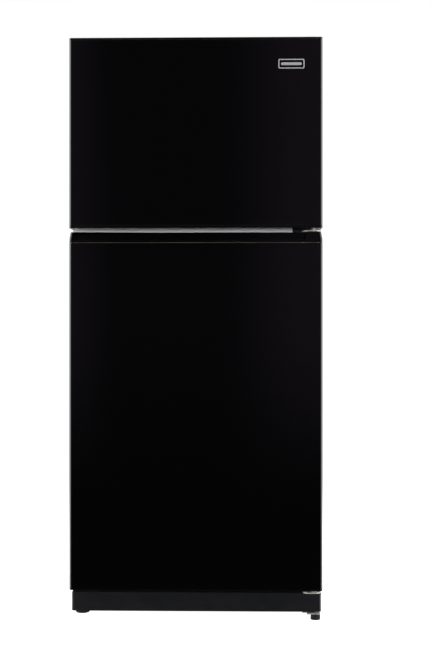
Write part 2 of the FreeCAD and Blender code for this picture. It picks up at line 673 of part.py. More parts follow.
def condenser_rack():
    """Upright wires on both sides of the coil, and two flat straps that stand off from the rear panel."""
    things = []
    top = f"coil_low + {COIL_RUNS - 1} * coil_pitch + 12"
    offset = "coil_radius + wire_radius"
    for index in range(21):
        x = f"{(index - 10) * 24}"
        for name, y in (("front", f"coil_y - ({offset})"), ("rear", f"coil_y + ({offset})")):
            things.append(rod(f"wire_{name}_{index}", "Z", (x, y, "coil_low - 12"),
                              f"{top} - (coil_low - 12)",
                              "wire_radius"))
    for name, z in (("low", "coil_low + 1.5 * coil_pitch"),
                    ("high", f"coil_low + {COIL_RUNS - 2.5} * coil_pitch")):
        strap = block(f"strap_{name}", ("-255", "255"),
                      ("coil_y - coil_radius - 2 * wire_radius - 1.5",
                       "coil_y - coil_radius - 2 * wire_radius"),
                      (f"{z} - 8", f"{z} + 8"))
        legs = []
        for side_name, side in SIDES:
            x = mirrored(side, "245", "255")
            legs.append(block(f"leg_{name}_{side_name}", x,
                              ("cabinet_rear", "coil_y - coil_radius - 2 * wire_radius - 1"), (f"{z} - 8",
                                                                                               f"{z} + 8")))
        things.append(fuse(f"stand_off_{name}", [strap] + legs))
    group("condenser_rack", things)


def refrigerant_lines():
    """Discharge line, liquid line with its drier, and suction line."""
    coil = coil_points()
    first, last = coil[0], coil[-1]
    half = abs(first[0])
    x, y = cell("compressor_x"), cell("compressor_y")
    bay_y = cell("coil_y")
    discharge = tube([(x - 68.4, y + 20, 180), (-half + 10, y + 20, 180), (-half + 10, bay_y, 180),
                      (-half - 22, bay_y, 180), (-half - 22, bay_y, first[2]), (first[0], bay_y,
                                                                                first[2])], 12, 2.5)
    liquid = tube([last, (-half - 22, bay_y, last[2]), (-half - 22, bay_y, last[2] + 40), (half + 22, bay_y,
                  last[2] + 40), (half + 22, bay_y, 230)], 12, 2.5)
    drier = Part.makeCylinder(9, 90, FreeCAD.Vector(half + 22, bay_y, 140), FreeCAD.Vector(0, 0, 1))
    capillary = tube([(half + 22, bay_y, 140), (half + 22, bay_y, 90), (220, 200, 90), (220, 200, 231)], 12,
                     1.2)
    suction = tube([(x + 74.6, y, 160), (150, y, 160), (150, y, 231)], 15, 4.0)
    shaped("refrigerant_lines", Part.makeCompound([discharge, liquid, drier, capillary, suction]))


def evaporation_pan():
    pan = new_body("evaporation_pan")
    x = ("compressor_x - 85", "compressor_x + 85")
    y = ("compressor_y - 70", "compressor_y + 70")
    grow(pan, "pan_block", x, y, ("205.5", "226"))
    carve(pan, "pan_hollow", (f"{x[0]} + 2", f"{x[1]} - 2"), (f"{y[0]} + 2", f"{y[1]} - 2"),
          ("207.5", "227"))


def evaporator():
    runs = 6
    pitch = 22
    fins = []
    for index in range(25):
        x = f"{(index - 12) * 15} - 0.4"
        fins.append(block(f"fin_{index}", (x, f"{x} + 0.8"), ("209", "246"), ("1152", "1292")))
    points = []
    for run in range(runs):
        side = -200 - pitch / 2 if run % 2 == 0 else 200 + pitch / 2
        height = 1167 + run * pitch
        points.append((side, 227, height))
        points.append((-side, 227, height))
    pipe = doc.addObject("Part::Feature", "evaporator_pipe")
    pipe.Shape = tube(points, pitch / 2 - 0.01, 4.0)
    node(fuse("evaporator_core", fins + [pipe]), "evaporator")


def evaporator_cover():
    cover = new_body("evaporator_cover")
    grow(cover, "cover_sheet", ("-297", "297"), ("200", "202.5"),
         ("rail_high + liner_wall + 0.5", "ceiling - liner_wall - 0.5"))
    round_edges(cover, "sheet_corners", "liner_corner", "Y", lambda point: near(abs(point.x), 297.0))
    vent = carve(cover, "fan_slot", ("-46", "-40"), ("199", "203"), ("fan_z - 40", "fan_z + 40"))
    row_of(cover, "fan_grille", vent, "H_Axis", "86", 8)
    inlet = carve(cover, "return_slot", ("-240", "-210"), ("199", "203"), ("1122", "1130"))
    row_of(cover, "return_grille", inlet, "H_Axis", "450", 11)


def fan_motor():
    motor = new_body("fan_motor")
    rear = "freezer_rear - liner_wall"
    grow_rod(motor, "motor_can", "Y", ("0", "228", "fan_z"), f"{rear} - 228", "22")
    grow_rod(motor, "motor_shaft", "Y", ("0", "209", "fan_z"), "20", "1.5")
    grow(motor, "motor_strap", ("-70", "70"), (f"{rear} - 3", rear), ("fan_z - 9", "fan_z + 9"))


def evaporator_fan():
    hub = rod("fan_hub", "Y", ("0", "207", "fan_z"), "14", "12")
    blades = []
    for index in range(5):
        angle = 2 * math.pi * index / 5
        blade = doc.addObject("Part::Box", f"fan_blade_{index}")
        blade.setExpression("Length", bound("fan_radius - 10"))
        blade.Width = 1.4
        blade.Height = 22
        pitch = FreeCAD.Rotation(FreeCAD.Vector(1, 0, 0), 62)
        turn = FreeCAD.Rotation(FreeCAD.Vector(0, 1, 0), math.degrees(-angle))
        centre = turn.multVec(FreeCAD.Vector(10, 0, 0) + pitch.multVec(FreeCAD.Vector(0, -0.7, -11)))
        blade.Placement = FreeCAD.Placement(centre + FreeCAD.Vector(0, 214, cell("fan_z")), turn * pitch)
        blades.append(blade)
    wheel = fuse("fan_wheel", [hub] + blades)
    bore = rod("fan_bore", "Y", ("0", "206", "fan_z"), "16", "1.58")
    node(minus("fan_turned", wheel, bore), "evaporator_fan")


# ---- Inside the compartments ----

PLUNGER = ("148", "1038")
KNOB = ("-60", "1034")


def control_housing():
    housing = new_body("control_housing")
    roof = "rail_low - liner_wall"
    grow(housing, "housing_block", ("-120", "120"), ("-180", "60"), ("1008", roof))
    low = 1008.0
    round_edges(housing, "housing_brow", "8", "X",
                lambda point: near(point.z, low) and near(point.y, -180.0))
    grow(housing, "switch_arm", ("110", "166"), ("-180", "-140"), ("1027", roof))
    grow(housing, "switch_pod", ("132", "166"), ("-236", "-175"), ("1027", roof))
    drill(housing, "switch_hole", "Y", (PLUNGER[0], "-237", PLUNGER[1]), "41", "4.3")
    drill(housing, "knob_hole", "Y", (KNOB[0], "-181", KNOB[1]), "13", "3.4")
    carve(housing, "lamp_bay", ("20", "100"), ("-120", "20"), ("1007", "1050"))


def light_switch_plunger():
    plunger = new_body("light_switch_plunger")
    grow_rod(plunger, "plunger_rod", "Y", (PLUNGER[0], "dike_rear + 0.4", PLUNGER[1]), "40", "4")
    doc.recompute()
    rod_end = plunger.Tip
    tip = cell("dike_rear") + 0.4
    edge = next(index for index, item in enumerate(rod_end.Shape.Edges, start=1)
                if len(item.Vertexes) == 1 and near(item.Vertexes[0].Y, tip))
    dome = plunger.newObject("PartDesign::Fillet", "plunger_tip")
    dome.Base = (rod_end, [f"Edge{edge}"])
    dome.Radius = 2.0
    plunger.Tip = dome


def thermostat_knob():
    knob = new_body("thermostat_knob")
    grow_rod(knob, "knob_disc", "Y", (KNOB[0], "-194", KNOB[1]), "13.7", "17")
    grow_rod(knob, "knob_stem", "Y", (KNOB[0], "-181", KNOB[1]), "10", "3")
    grow(knob, "knob_grip", (f"{KNOB[0]} - 3", f"{KNOB[0]} + 3"), ("-204", "-193"),
         (f"{KNOB[1]} - 16", f"{KNOB[1]} + 16"))


def lamp_cover():
    cover = new_body("lamp_cover")
    grow(cover, "lens_block", ("12", "108"), ("-128", "28"), ("996", "1007.7"))
    lens_low = 996.0
    round_edges(cover, "lens_edge", "3", None, lambda point: near(point.z, lens_low))
    carve(cover, "lens_hollow", ("16", "104"), ("-124", "24"), ("1000", "1009"))


def freezer_shelf():
    shelf = new_body("freezer_shelf")
    for name, y in (("front", "-152"), ("middle", "16"), ("rear", "184")):
        grow_rod(shelf, f"bar_{name}", "X", ("-shelf_half", y, "freezer_shelf_level + 3"), "2 * shelf_half",
                 "3")
    wire = grow_rod(shelf, "first_wire", "Y", ("-285", "-155", "freezer_shelf_level + 6.5"), "342", "1.75")
    row_of(shelf, "wires", wire, "H_Axis", "570", 31)


def glass_shelf(label, level):
    pane = new_body(label)
    grow(pane, label + "_pane", ("-shelf_half", "shelf_half"), ("shelf_front", "250"),
         (level, f"{level} + glass"))
    front = cell("shelf_front")
    round_edges(pane, label + "_corners", "3", "Z", upright(cell("shelf_half"), front))


def shelf_trims():
    trims = []
    for name, level in (("high", "shelf_high"), ("middle", "shelf_mid"), ("low", "crisper_roof")):
        bar = block(f"trim_bar_{name}", ("-shelf_half", "shelf_half"),
                    ("shelf_front - 5", "shelf_front + 6"),
                    (f"{level} + glass", f"{level} + glass + 5"))
        lip = block(f"trim_lip_{name}", ("-shelf_half", "shelf_half"),
                    ("shelf_front - 5", "shelf_front - 0.1"),
                    (f"{level} - 4", f"{level} + glass + 5"))
        trims.append(fuse(f"trim_{name}", [bar, lip]))
    group("shelf_trims", trims)


def crisper(name, side):
    drawer = new_body(f"crisper_drawer_{name}")
    wide = mirrored(side, "2", "288")
    inner = mirrored(side, "2 + bin_wall", "288 - bin_wall")
    top = "crisper_roof - 6"
    back = "hump_front - 5"
    grow(drawer, f"{name}_low_box", wide, ("crisper_front", back), ("sill_high + liner_wall + 0.4", top))
    grow(drawer, f"{name}_high_box", wide, ("crisper_front", "235"), ("hump_top + liner_wall + 2", top))
    carve(drawer, f"{name}_low_space", inner, ("crisper_front + bin_wall", f"{back} - bin_wall"),
          ("sill_high + liner_wall + 0.4 + bin_wall", f"{top} + 1"))
    carve(drawer, f"{name}_high_space", inner, ("crisper_front + bin_wall", "235 - bin_wall"),
          ("hump_top + liner_wall + 2 + bin_wall", f"{top} + 1"))
    centre = side * 145
    grow(drawer, f"{name}_handle", (f"{centre} - 80", f"{centre} + 80"),
         ("crisper_front - 9", "crisper_front + 1"),
         (f"{top} - 18", f"{top} - 4"))


# ---- Feet and rollers ----

def foot(label, x, y, disc_radius, disc_tall, stem_top):
    """A threaded levelling foot with a chamfered disc."""
    body = new_body(label)
    turned(body, label + "_outline", "Z", [("0", "0"), (f"{disc_radius} - 2.5", "0"), (disc_radius, "2.5"),
                                           (disc_radius, disc_tall), ("foot_stem", disc_tall),
                                           ("foot_stem", stem_top), ("0", stem_top)])
    body.setExpression("Placement.Base.x", bound(x))
    body.setExpression("Placement.Base.y", bound(y))


def roller(name, side):
    body = new_body(f"rear_roller_{name}")
    turned(body, f"{name}_tyre", "Z", [("axle_radius + pin_play", "0"), ("roller_radius - 1.5", "0"),
                                       ("roller_radius", "1.5"), ("roller_radius", "2 * roller_half - 1.5"),
                                       ("roller_radius - 1.5", "2 * roller_half"),
                                       ("axle_radius + pin_play", "2 * roller_half")])
    body.Placement = FreeCAD.Placement(FreeCAD.Vector(), TURNS["X"])
    body.setExpression("Placement.Base.x", bound(f"{side} * roller_x - roller_half"))
    body.setExpression("Placement.Base.y", bound("roller_y"))
    body.setExpression("Placement.Base.z", bound("roller_radius"))


def power_cord_gland():
    gland = new_body("power_cord_gland")
    grow_rod(gland, "gland_collar", "Y", ("180", "cabinet_rear - 5", "70"), "4", "14")
    grow_rod(gland, "gland_sleeve", "Y", ("180", "cabinet_rear - 25", "70"), "27", "9")
    drill(gland, "gland_bore", "Y", ("180", "cabinet_rear - 26", "70"), "29", "4")
    grow(gland, "gland_bracket", ("162", "198"), ("cabinet_rear - 8", "cabinet_rear - 5"), ("42", "62"))


# ---- Doors ----

def door_shell(prefix, low, high, low_cap, high_cap):
    """The painted sheet of a door, open at the back and between its two end caps."""
    half = "overall_width / 2"
    edge = cell("overall_width") / 2
    front = cell("door_front")
    bottom = f"{low} + {low_cap}"
    top = f"{high} - {high_cap}"
    skin = new_body(f"{prefix}_door_skin")
    grow(skin, f"{prefix}_skin_block", (f"-{half}", half), ("door_front", "door_rear"), (bottom, top))
    round_edges(skin, f"{prefix}_skin_corners", "door_corner", "Z", upright(edge, front))
    inner = f"{half} - sheet_metal"
    carve(skin, f"{prefix}_skin_hollow", (f"-({inner})", inner),
          ("door_front + door_corner", "door_rear + 1"),
          (f"{bottom} - 1", f"{top} + 1"))
    flat = f"{half} - door_corner"
    carve(skin, f"{prefix}_skin_front", (f"-({flat})", flat),
          ("door_front + sheet_metal", "door_front + door_corner + 1"),
          (f"{bottom} - 1", f"{top} + 1"))
    for name, side in SIDES:
        drill(skin, f"{prefix}_bend_{name}", "Z", (f"{side} * ({flat})", "door_front + door_corner",
                                                   f"{bottom} - 1"),
              f"({top}) - ({bottom}) + 2", "door_corner - sheet_metal")
    return skin


def door_foam(prefix, low, high, low_cap, high_cap, tubs):
    """The foam core, with room for the hinge bosses and the grip tub."""
    inner = "overall_width / 2 - sheet_metal"
    bottom = f"{low} + {low_cap}"
    top = f"{high} - {high_cap}"
    foam = new_body(f"{prefix}_door_insulation")
    grow(foam, f"{prefix}_foam_block", (f"-({inner})", inner),
         ("door_front + sheet_metal", "door_rear - liner_plate"),
         (bottom, top))
    round_edges(foam, f"{prefix}_foam_corners", "door_corner - sheet_metal", "Z",
                upright(cell("overall_width") / 2 - cell("sheet_metal"),
                        cell("door_front") + cell("sheet_metal")))
    for index, (x, y, z) in enumerate(tubs):
        carve(foam, f"{prefix}_foam_room_{index}", x, y, z)


BOSS_X = ("hinge_x - 20", "hinge_x + 18")
BOSS_Y = ("hinge_y - 20", "hinge_y + 20")
TUB_X = ("-overall_width / 2 + 10", "306.5")
TUB_Y = ("door_front + 3", "door_rear - 8")
GRIP_X = ("-overall_width / 2 + 8", "303.5")


def end_cap(label, low, high):
    """A plate with the door's own outline."""
    cap = new_body(label)
    half = "overall_width / 2"
    grow(cap, label + "_plate", (f"-{half}", half), ("door_front", "door_rear"), (low, high))
    round_edges(cap, label + "_corners", "door_corner", "Z",
                upright(cell("overall_width") / 2, cell("door_front")))
    return cap


def soften(cap, name, level, radius):
    """Rounds the front edge of a cap at one height."""
    front = cell("door_front")
    round_edges(cap, name, radius, "X", lambda point: near(point.z, level) and near(point.y, front))


def freezer_door():
    low, high = "freezer_door_low", "door_top"
    low_cap, high_cap = "8", "6"
    door_shell("freezer", low, high, low_cap, high_cap)

    cap = end_cap("freezer_door_top_cap", f"{high} - {high_cap}", high)
    soften(cap, "freezer_top_edge", cell("door_top"), "2")
    grow(cap, "freezer_top_boss", BOSS_X, BOSS_Y, (f"{high} - boss_deep", f"{high} - {high_cap} + 1"))
    drill(cap, "freezer_top_socket", "Z", ("hinge_x", "hinge_y", f"{high} - pin_reach - 1.5"),
          "pin_reach + 3",
          "pin_radius + pin_play")

    cap = end_cap("freezer_door_bottom_cap", low, f"{low} + {low_cap}")
    soften(cap, "freezer_bottom_edge", cell("freezer_door_low"), "2")
    grow(cap, "freezer_bottom_boss", BOSS_X, BOSS_Y, (f"{low} + {low_cap} - 1", f"{low} + boss_deep"))
    grow(cap, "freezer_grip_tub", TUB_X, TUB_Y, (f"{low} + {low_cap} - 1", f"{low} + 26"))
    carve(cap, "freezer_grip", GRIP_X, ("door_front + 9", "door_rear - 12"), (f"{low} - 1", f"{low} + 22"))
    # The back of the grip is cut away too, so a hand finds it from below.
    carve(cap, "freezer_grip_back", GRIP_X, ("door_rear - 13", "door_rear + 1"),
          (f"{low} - 1", f"{low} + 6"))
    drill(cap, "freezer_bottom_socket", "Z", ("hinge_x", "hinge_y", f"{low} - 1"), "pin_reach + 2.5",
          "pin_radius + pin_play")

    tubs = [(BOSS_X, BOSS_Y, (f"{high} - boss_deep", high)), (BOSS_X, BOSS_Y, (low, f"{low} + boss_deep")),
            (TUB_X, TUB_Y, (low, f"{low} + 26"))]
    door_foam("freezer", low, high, low_cap, high_cap, tubs)
    door_liner("freezer", f"{low} + {low_cap}", f"{high} - {high_cap}", ("1118", "1556"), FREEZER_BINS)
    gasket("freezer", ("1099", "1581"))

    badge = new_body("badge")
    grow(badge, "badge_plate", ("badge_left", "badge_right"), ("door_front - badge_thick", "door_front"),
         ("badge_low", "badge_high"))
    sides = (cell("badge_left"), cell("badge_right"))
    levels = (cell("badge_low"), cell("badge_high"))
    for index, (x, z) in enumerate([(x, z) for x in sides for z in levels]):
        round_edges(badge, f"badge_corner_{index}", "4", "Y",
                    lambda point: near(point.x, x) and near(point.z, z))


def fridge_door():
    low, high = "fridge_door_low", "fridge_door_high"
    low_cap, high_cap = "6", "28.8"
    door_shell("fridge", low, high, low_cap, high_cap)

    cap = end_cap("fridge_door_top_cap", f"{high} - {high_cap}", high)
    grow(cap, "fridge_grip_tub", TUB_X, TUB_Y, (f"{high} - 46.5", f"{high} - {high_cap} + 1"))
    carve(cap, "fridge_grip_well", GRIP_X, ("door_front + 7", "door_rear - 12"),
          (f"{high} - 42.5", f"{high} + 1"))
    carve(cap, "fridge_grip_mouth", GRIP_X, ("door_front - 1", "door_rear - 12"),
          (f"{high} - 22.5", f"{high} + 1"))
    grow(cap, "fridge_rear_lip", ("-overall_width / 2 + 4", "295"), ("door_rear - 11", "door_rear - 2"),
         (f"{high} - 1", f"{high} + 2.5"))
    drill(cap, "fridge_top_socket", "Z", ("hinge_x", "hinge_y", f"{high} - pin_reach - 1.5"),
          "pin_reach + 3",
          "pin_radius + pin_play")

    cap = end_cap("fridge_door_bottom_cap", low, f"{low} + {low_cap}")
    soften(cap, "fridge_bottom_edge", cell("fridge_door_low"), "2")
    grow(cap, "fridge_bottom_boss", BOSS_X, BOSS_Y, (f"{low} + {low_cap} - 1", f"{low} + boss_deep"))
    drill(cap, "fridge_bottom_socket", "Z", ("hinge_x", "hinge_y", f"{low} - 1"), "pin_reach + 2.5",
          "pin_radius + pin_play")

    tubs = [(TUB_X, TUB_Y, (f"{high} - 46.5", high)), (BOSS_X, BOSS_Y, (low, f"{low} + boss_deep"))]
    door_foam("fridge", low, high, low_cap, high_cap, tubs)
    door_liner("fridge", f"{low} + {low_cap}", f"{high} - {high_cap}", ("152", "1046"), FRIDGE_BINS)
    gasket("fridge", ("108", "1078.5"))


FREEZER_BINS = (("freezer_bin_lower", "1146", "75"), ("freezer_bin_upper", "1345", "75"))
FRIDGE_BINS = (("bottle_bin", "180", "120"), ("fridge_bin_middle", "480", "85"),
               ("fridge_bin_upper", "790", "85"))


def door_liner(prefix, low, high, dike, bins):
    """A plate with a raised ridge all round, and two rests under each bin."""
    liner = new_body(f"{prefix}_door_liner")
    half = "overall_width / 2 - sheet_metal"
    rear = ("door_rear - 1", "dike_rear")
    grow(liner, f"{prefix}_liner_plate", (f"-({half})", half), ("door_rear - liner_plate", "door_rear"),
         (low, high))
    for name, side in SIDES:
        grow(liner, f"{prefix}_ridge_{name}", mirrored(side, "dike_inner", "dike_outer"), rear, dike)
        for label, bottom, tall in bins:
            grow(liner, f"{label}_rest_{name}", mirrored(side, "bin_half - 5", "dike_inner + 1"),
                 ("-284", "-256"),
                 (f"{bottom} - 10.3", f"{bottom} - 0.3"))
    between = ("-dike_inner - 1", "dike_inner + 1")
    grow(liner, f"{prefix}_ridge_low", between, rear, (dike[0], f"{dike[0]} + dike_rail"))
    grow(liner, f"{prefix}_ridge_high", between, rear, (f"{dike[1]} - dike_rail", dike[1]))


def gasket(prefix, z):
    seal = new_body(f"{prefix}_door_gasket")
    grow(seal, f"{prefix}_gasket_block", ("-gasket_half", "gasket_half"), ("door_rear", "gasket_face"), z)
    carve(seal, f"{prefix}_gasket_hole", ("-gasket_half + gasket_wide", "gasket_half - gasket_wide"),
          ("door_rear - 1", "gasket_face + 1"), (f"{z[0]} + gasket_wide", f"{z[1]} - gasket_wide"))


def door_bin(label, bottom, tall):
    body = new_body(label)
    grow(body, label + "_block", ("-bin_half", "bin_half"), ("bin_front", "bin_rear"),
         (bottom, f"{bottom} + {tall}"))
    carve(body, label + "_space", ("-bin_half + bin_wall", "bin_half - bin_wall"),
          ("bin_front + bin_wall", "bin_rear - bin_wall"), (f"{bottom} + bin_wall",
                                                            f"{bottom} + {tall} + 1"))
    round_edges(body, label + "_inside", "bin_corner - bin_wall", "Z",
                upright(cell("bin_half") - cell("bin_wall"), cell("bin_rear") - cell("bin_wall")))
    round_edges(body, label + "_corners", "bin_corner", "Z", upright(cell("bin_half"), cell("bin_rear")))


# ---- The whole appliance ----

for side_name, side_sign in SIDES:
    side_panel(side_name, side_sign)
top_panel()
rear_panel()
cabinet_insulation()
freezer_liner()
fridge_liner()
mid_rail()
base_frame()
kick_plate()
top_hinge()
middle_hinge()
bottom_hinge()
hinge_screws()
top_hinge_cover()
compressor()
compressor_mounts()
terminal_cover()
condenser_coil()
condenser_rack()
refrigerant_lines()
evaporation_pan()
evaporator()
evaporator_cover()
fan_motor()
evaporator_fan()
control_housing()
light_switch_plunger()
thermostat_knob()
lamp_cover()
freezer_shelf()
glass_shelf("fridge_shelf_upper", "shelf_high")
glass_shelf("fridge_shelf_lower", "shelf_mid")
glass_shelf("crisper_cover", "crisper_roof")
shelf_trims()
for side_name, side_sign in SIDES:
    crisper(side_name, side_sign)
    roller(side_name, side_sign)
foot("left_foot", "-foot_x", "left_foot_y", "19.5", "10", "62")
foot("right_foot", "foot_x + 4", "right_foot_y", "13.5", "15", "38")
power_cord_gland()
freezer_door()
fridge_door()
for bin_label, bin_bottom, bin_tall in FREEZER_BINS + FRIDGE_BINS:
    door_bin(bin_label, bin_bottom, bin_tall)
doc.recompute()

# ---- Checks, then one file per sub-part ----

for thing in doc.Objects:
    if "Invalid" in thing.State or "Error" in thing.State:
        raise ValueError(f"{thing.Label} failed: {thing.State}")
    if thing.TypeId == "PartDesign::Pocket":
        if thing.Shape.Volume > thing.BaseFeature.Shape.Volume - TINY:
            raise ValueError(f"{thing.Label} cuts nothing")
labels = [thing.Label for thing in nodes]
if len(set(labels)) != len(labels):
    raise ValueError("two sub-parts share a label")
for thing in nodes:
    if thing.Shape.isNull() or not thing.Shape.isValid():
        raise ValueError(f"{thing.Label} has no valid shape")
os.makedirs("parts", exist_ok=True)
for thing in nodes:
    thing.Shape.exportStep(f"parts/{thing.Label}.step")
print(len(nodes), "sub-parts written")
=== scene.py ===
import json
import math

import bpy
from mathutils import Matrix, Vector

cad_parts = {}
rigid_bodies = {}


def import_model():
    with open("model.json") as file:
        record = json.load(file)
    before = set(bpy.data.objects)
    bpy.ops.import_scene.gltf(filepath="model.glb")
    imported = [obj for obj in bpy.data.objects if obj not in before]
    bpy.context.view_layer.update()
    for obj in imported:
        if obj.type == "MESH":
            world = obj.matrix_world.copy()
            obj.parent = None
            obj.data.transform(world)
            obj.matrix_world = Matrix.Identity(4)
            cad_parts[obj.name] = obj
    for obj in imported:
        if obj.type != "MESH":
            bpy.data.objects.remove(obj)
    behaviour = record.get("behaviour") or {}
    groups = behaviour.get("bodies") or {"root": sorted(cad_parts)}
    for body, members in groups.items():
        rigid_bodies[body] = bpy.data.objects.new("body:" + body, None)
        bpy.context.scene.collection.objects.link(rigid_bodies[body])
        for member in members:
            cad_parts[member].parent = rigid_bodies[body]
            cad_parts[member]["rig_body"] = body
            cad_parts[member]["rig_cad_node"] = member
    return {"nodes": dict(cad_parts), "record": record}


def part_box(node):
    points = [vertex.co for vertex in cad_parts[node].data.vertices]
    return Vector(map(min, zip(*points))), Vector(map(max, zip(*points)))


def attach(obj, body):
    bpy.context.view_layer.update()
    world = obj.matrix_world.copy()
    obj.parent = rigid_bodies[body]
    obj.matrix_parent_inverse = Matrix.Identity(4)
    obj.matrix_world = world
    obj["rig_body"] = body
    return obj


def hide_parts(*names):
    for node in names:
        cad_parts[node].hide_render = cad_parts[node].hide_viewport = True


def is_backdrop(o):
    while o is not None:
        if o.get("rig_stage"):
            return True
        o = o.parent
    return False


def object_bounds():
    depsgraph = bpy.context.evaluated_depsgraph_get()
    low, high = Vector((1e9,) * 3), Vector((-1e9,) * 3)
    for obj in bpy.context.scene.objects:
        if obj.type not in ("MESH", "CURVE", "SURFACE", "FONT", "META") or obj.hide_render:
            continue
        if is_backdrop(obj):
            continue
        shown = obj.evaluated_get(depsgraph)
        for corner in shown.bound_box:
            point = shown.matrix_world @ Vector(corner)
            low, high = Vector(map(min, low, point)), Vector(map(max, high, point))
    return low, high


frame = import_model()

bl_info = {
    "name": "Top Freezer Refrigerator",
    "version": (1, 0, 0),
    "blender": (4, 5, 0),
    "location": "View3D > Sidebar > Refrigerator",
    "description": "Builds the visible pieces and finishes of a two-door refrigerator "
                   "round its packed frame",
    "category": "Add Mesh",
}

CAD_LOW, CAD_HIGH = (Vector(corner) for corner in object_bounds())
NODES = frame["nodes"]
BODY_OF = {node: body for body, members in frame["record"]["behaviour"]["bodies"].items()
           for node in members}
SLOT_OF = {entry["node"]: entry["material_slot"] for entry in frame["record"]["subparts"]}

SAME = 1e-6                                 # two places closer than this are one
SMOOTH_ANGLE = math.radians(35)
RIDGE_FROM, RIDGE_TO = 0.25, 0.2865         # half widths between which a liner's ridge is rounded
GASKET_WIDTH = 0.014
GRIP_END = 0.0075                           # the ends of the grip cap that lean inwards
DIAL_FACE = -0.180                          # where the tick marks round the dial stand
TICK_NEAR, TICK_FAR, TICK_HALF = 0.0195, 0.0225, 0.0004
SEAM_LEVEL, SEAM_RADIUS, SEAM_HEIGHT = 0.128, 0.0775, 0.005
KNOB_HEIGHTS = (("left_foot", 0.010), ("right_foot", 0.018))
STEM_RADIUS = 0.004


# ---- Modelling by hand: one helper for each thing a modeller does ----

def only(piece):
    """Makes a piece the one selected and active object."""
    if bpy.context.object and bpy.context.object.mode != "OBJECT":
        bpy.ops.object.mode_set(mode="OBJECT")
    bpy.ops.object.select_all(action="DESELECT")
    piece.select_set(True)
    bpy.context.view_layer.objects.active = piece


def settle(name):
    """Names the object that an operator has just added and puts its place into its mesh."""
    piece = bpy.context.object
    piece.name = name
    bpy.ops.object.transform_apply(location=True, rotation=True, scale=True)
    return piece


def block(name, low, high):
    """A box between two corners, as the start of a piece."""
    bpy.ops.object.select_all(action="DESELECT")
    low, high = Vector(low), Vector(high)
    bpy.ops.mesh.primitive_cube_add(size=1, location=(low + high) / 2)
    bpy.context.object.scale = high - low
    return settle(name)


def disc(name, centre, radius, length, sides):
    """A closed upright cylinder about a centre, as the start of a turned piece."""
    bpy.ops.object.select_all(action="DESELECT")
    bpy.ops.mesh.primitive_cylinder_add(vertices=sides, radius=radius, depth=length, location=centre)
    return settle(name)


def open_all(piece):
    """Goes into edit mode with the whole of a piece selected."""
    only(piece)
    bpy.ops.object.mode_set(mode="EDIT")
    bpy.ops.mesh.select_all(action="SELECT")


def pick(piece, kind, test):
    """Goes into edit mode with only the vertices, edges or faces that satisfy a test selected."""
    only(piece)
    bpy.ops.object.mode_set(mode="EDIT")
    bpy.ops.mesh.select_mode(type=kind)
    bpy.ops.mesh.select_all(action="DESELECT")
    bpy.ops.object.mode_set(mode="OBJECT")
    mesh = piece.data
    points = mesh.vertices
    found = 0
    if kind == "VERT":
        for vertex in points:
            vertex.select = bool(test(vertex.co))
            found += vertex.select
    elif kind == "EDGE":
        for edge in mesh.edges:
            edge.select = bool(test(points[edge.vertices[0]].co, points[edge.vertices[1]].co))
            found += edge.select
    else:
        for face in mesh.polygons:
            face.select = bool(test(face.center, face.normal))
            found += face.select
    if not found:
        raise ValueError(f"{piece.name}: nothing to select")
    bpy.ops.object.mode_set(mode="EDIT")


def done():
    bpy.ops.object.mode_set(mode="OBJECT")


def bevel(piece, width, segments, test):
    """Rounds the edges whose two ends satisfy a test."""
    pick(piece, "EDGE", test)
    bpy.ops.mesh.bevel(offset=width, segments=segments, profile=0.5, affect="EDGES")
    done()


def along(axis):
    """A test for edges that run along X, Y or Z."""
    index = "XYZ".index(axis)
    others = [number for number in range(3) if number != index]
    return lambda first, last: all(abs(first[i] - last[i]) < SAME for i in others)


def remove_faces(piece, test):
    pick(piece, "FACE", test)
    bpy.ops.mesh.delete(type="FACE")
    done()


def apply(piece, kind, **settings):
    """Adds a modifier, sets it and applies it."""
    only(piece)
    modifier = piece.modifiers.new(kind.title(), kind)
    for name, value in settings.items():
        setattr(modifier, name, value)
    bpy.ops.object.modifier_apply(modifier=modifier.name)
    return piece


def hollow(piece, wall):
    """Gives an open shell a wall inside its outer faces."""
    open_all(piece)
    bpy.ops.mesh.normals_make_consistent(inside=False)
    done()
    return apply(piece, "SOLIDIFY", thickness=wall, offset=-1, use_even_offset=True)


def cut(piece, *tools):
    """Takes other solids out of a piece and removes them."""
    for tool in tools:
        apply(piece, "BOOLEAN", operation="DIFFERENCE", solver="EXACT", object=tool)
        bpy.data.objects.remove(tool)
    return piece


def join(name, pieces):
    """Makes several loose solids one object."""
    only(pieces[0])
    for piece in pieces[1:]:
        piece.select_set(True)
    bpy.ops.object.join()
    pieces[0].name = name
    return pieces[0]


def merged(node):
    """A copy of a frame node with its doubles merged and its flats joined."""
    source = NODES[node]
    piece = source.copy()
    piece.data = source.data.copy()
    piece.parent = None
    piece.name = node + "_finished"
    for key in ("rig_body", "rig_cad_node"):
        if key in piece:
            del piece[key]
    bpy.context.scene.collection.objects.link(piece)
    open_all(piece)
    bpy.ops.mesh.remove_doubles(threshold=SAME)
    bpy.ops.mesh.dissolve_limited(angle_limit=math.radians(1))
    done()
    return piece


def round_all(piece, width, segments=2, angle=35):
    """Softens every edge of a piece that is sharper than an angle."""
    return apply(piece, "BEVEL", width=width, segments=segments, limit_method="ANGLE",
                 angle_limit=math.radians(angle), use_clamp_overlap=True, miter_outer="MITER_ARC")


def slice_at(piece, axis, level):
    """Adds a ring of edges where a plane square to an axis passes through a piece."""
    normal = [float(letter == axis) for letter in "XYZ"]
    open_all(piece)
    bpy.ops.mesh.bisect(plane_co=[part * level for part in normal], plane_no=normal)
    done()


def shift(piece, offset, test):
    """Moves the vertices that satisfy a test."""
    pick(piece, "VERT", test)
    bpy.ops.transform.translate(value=offset)
    done()


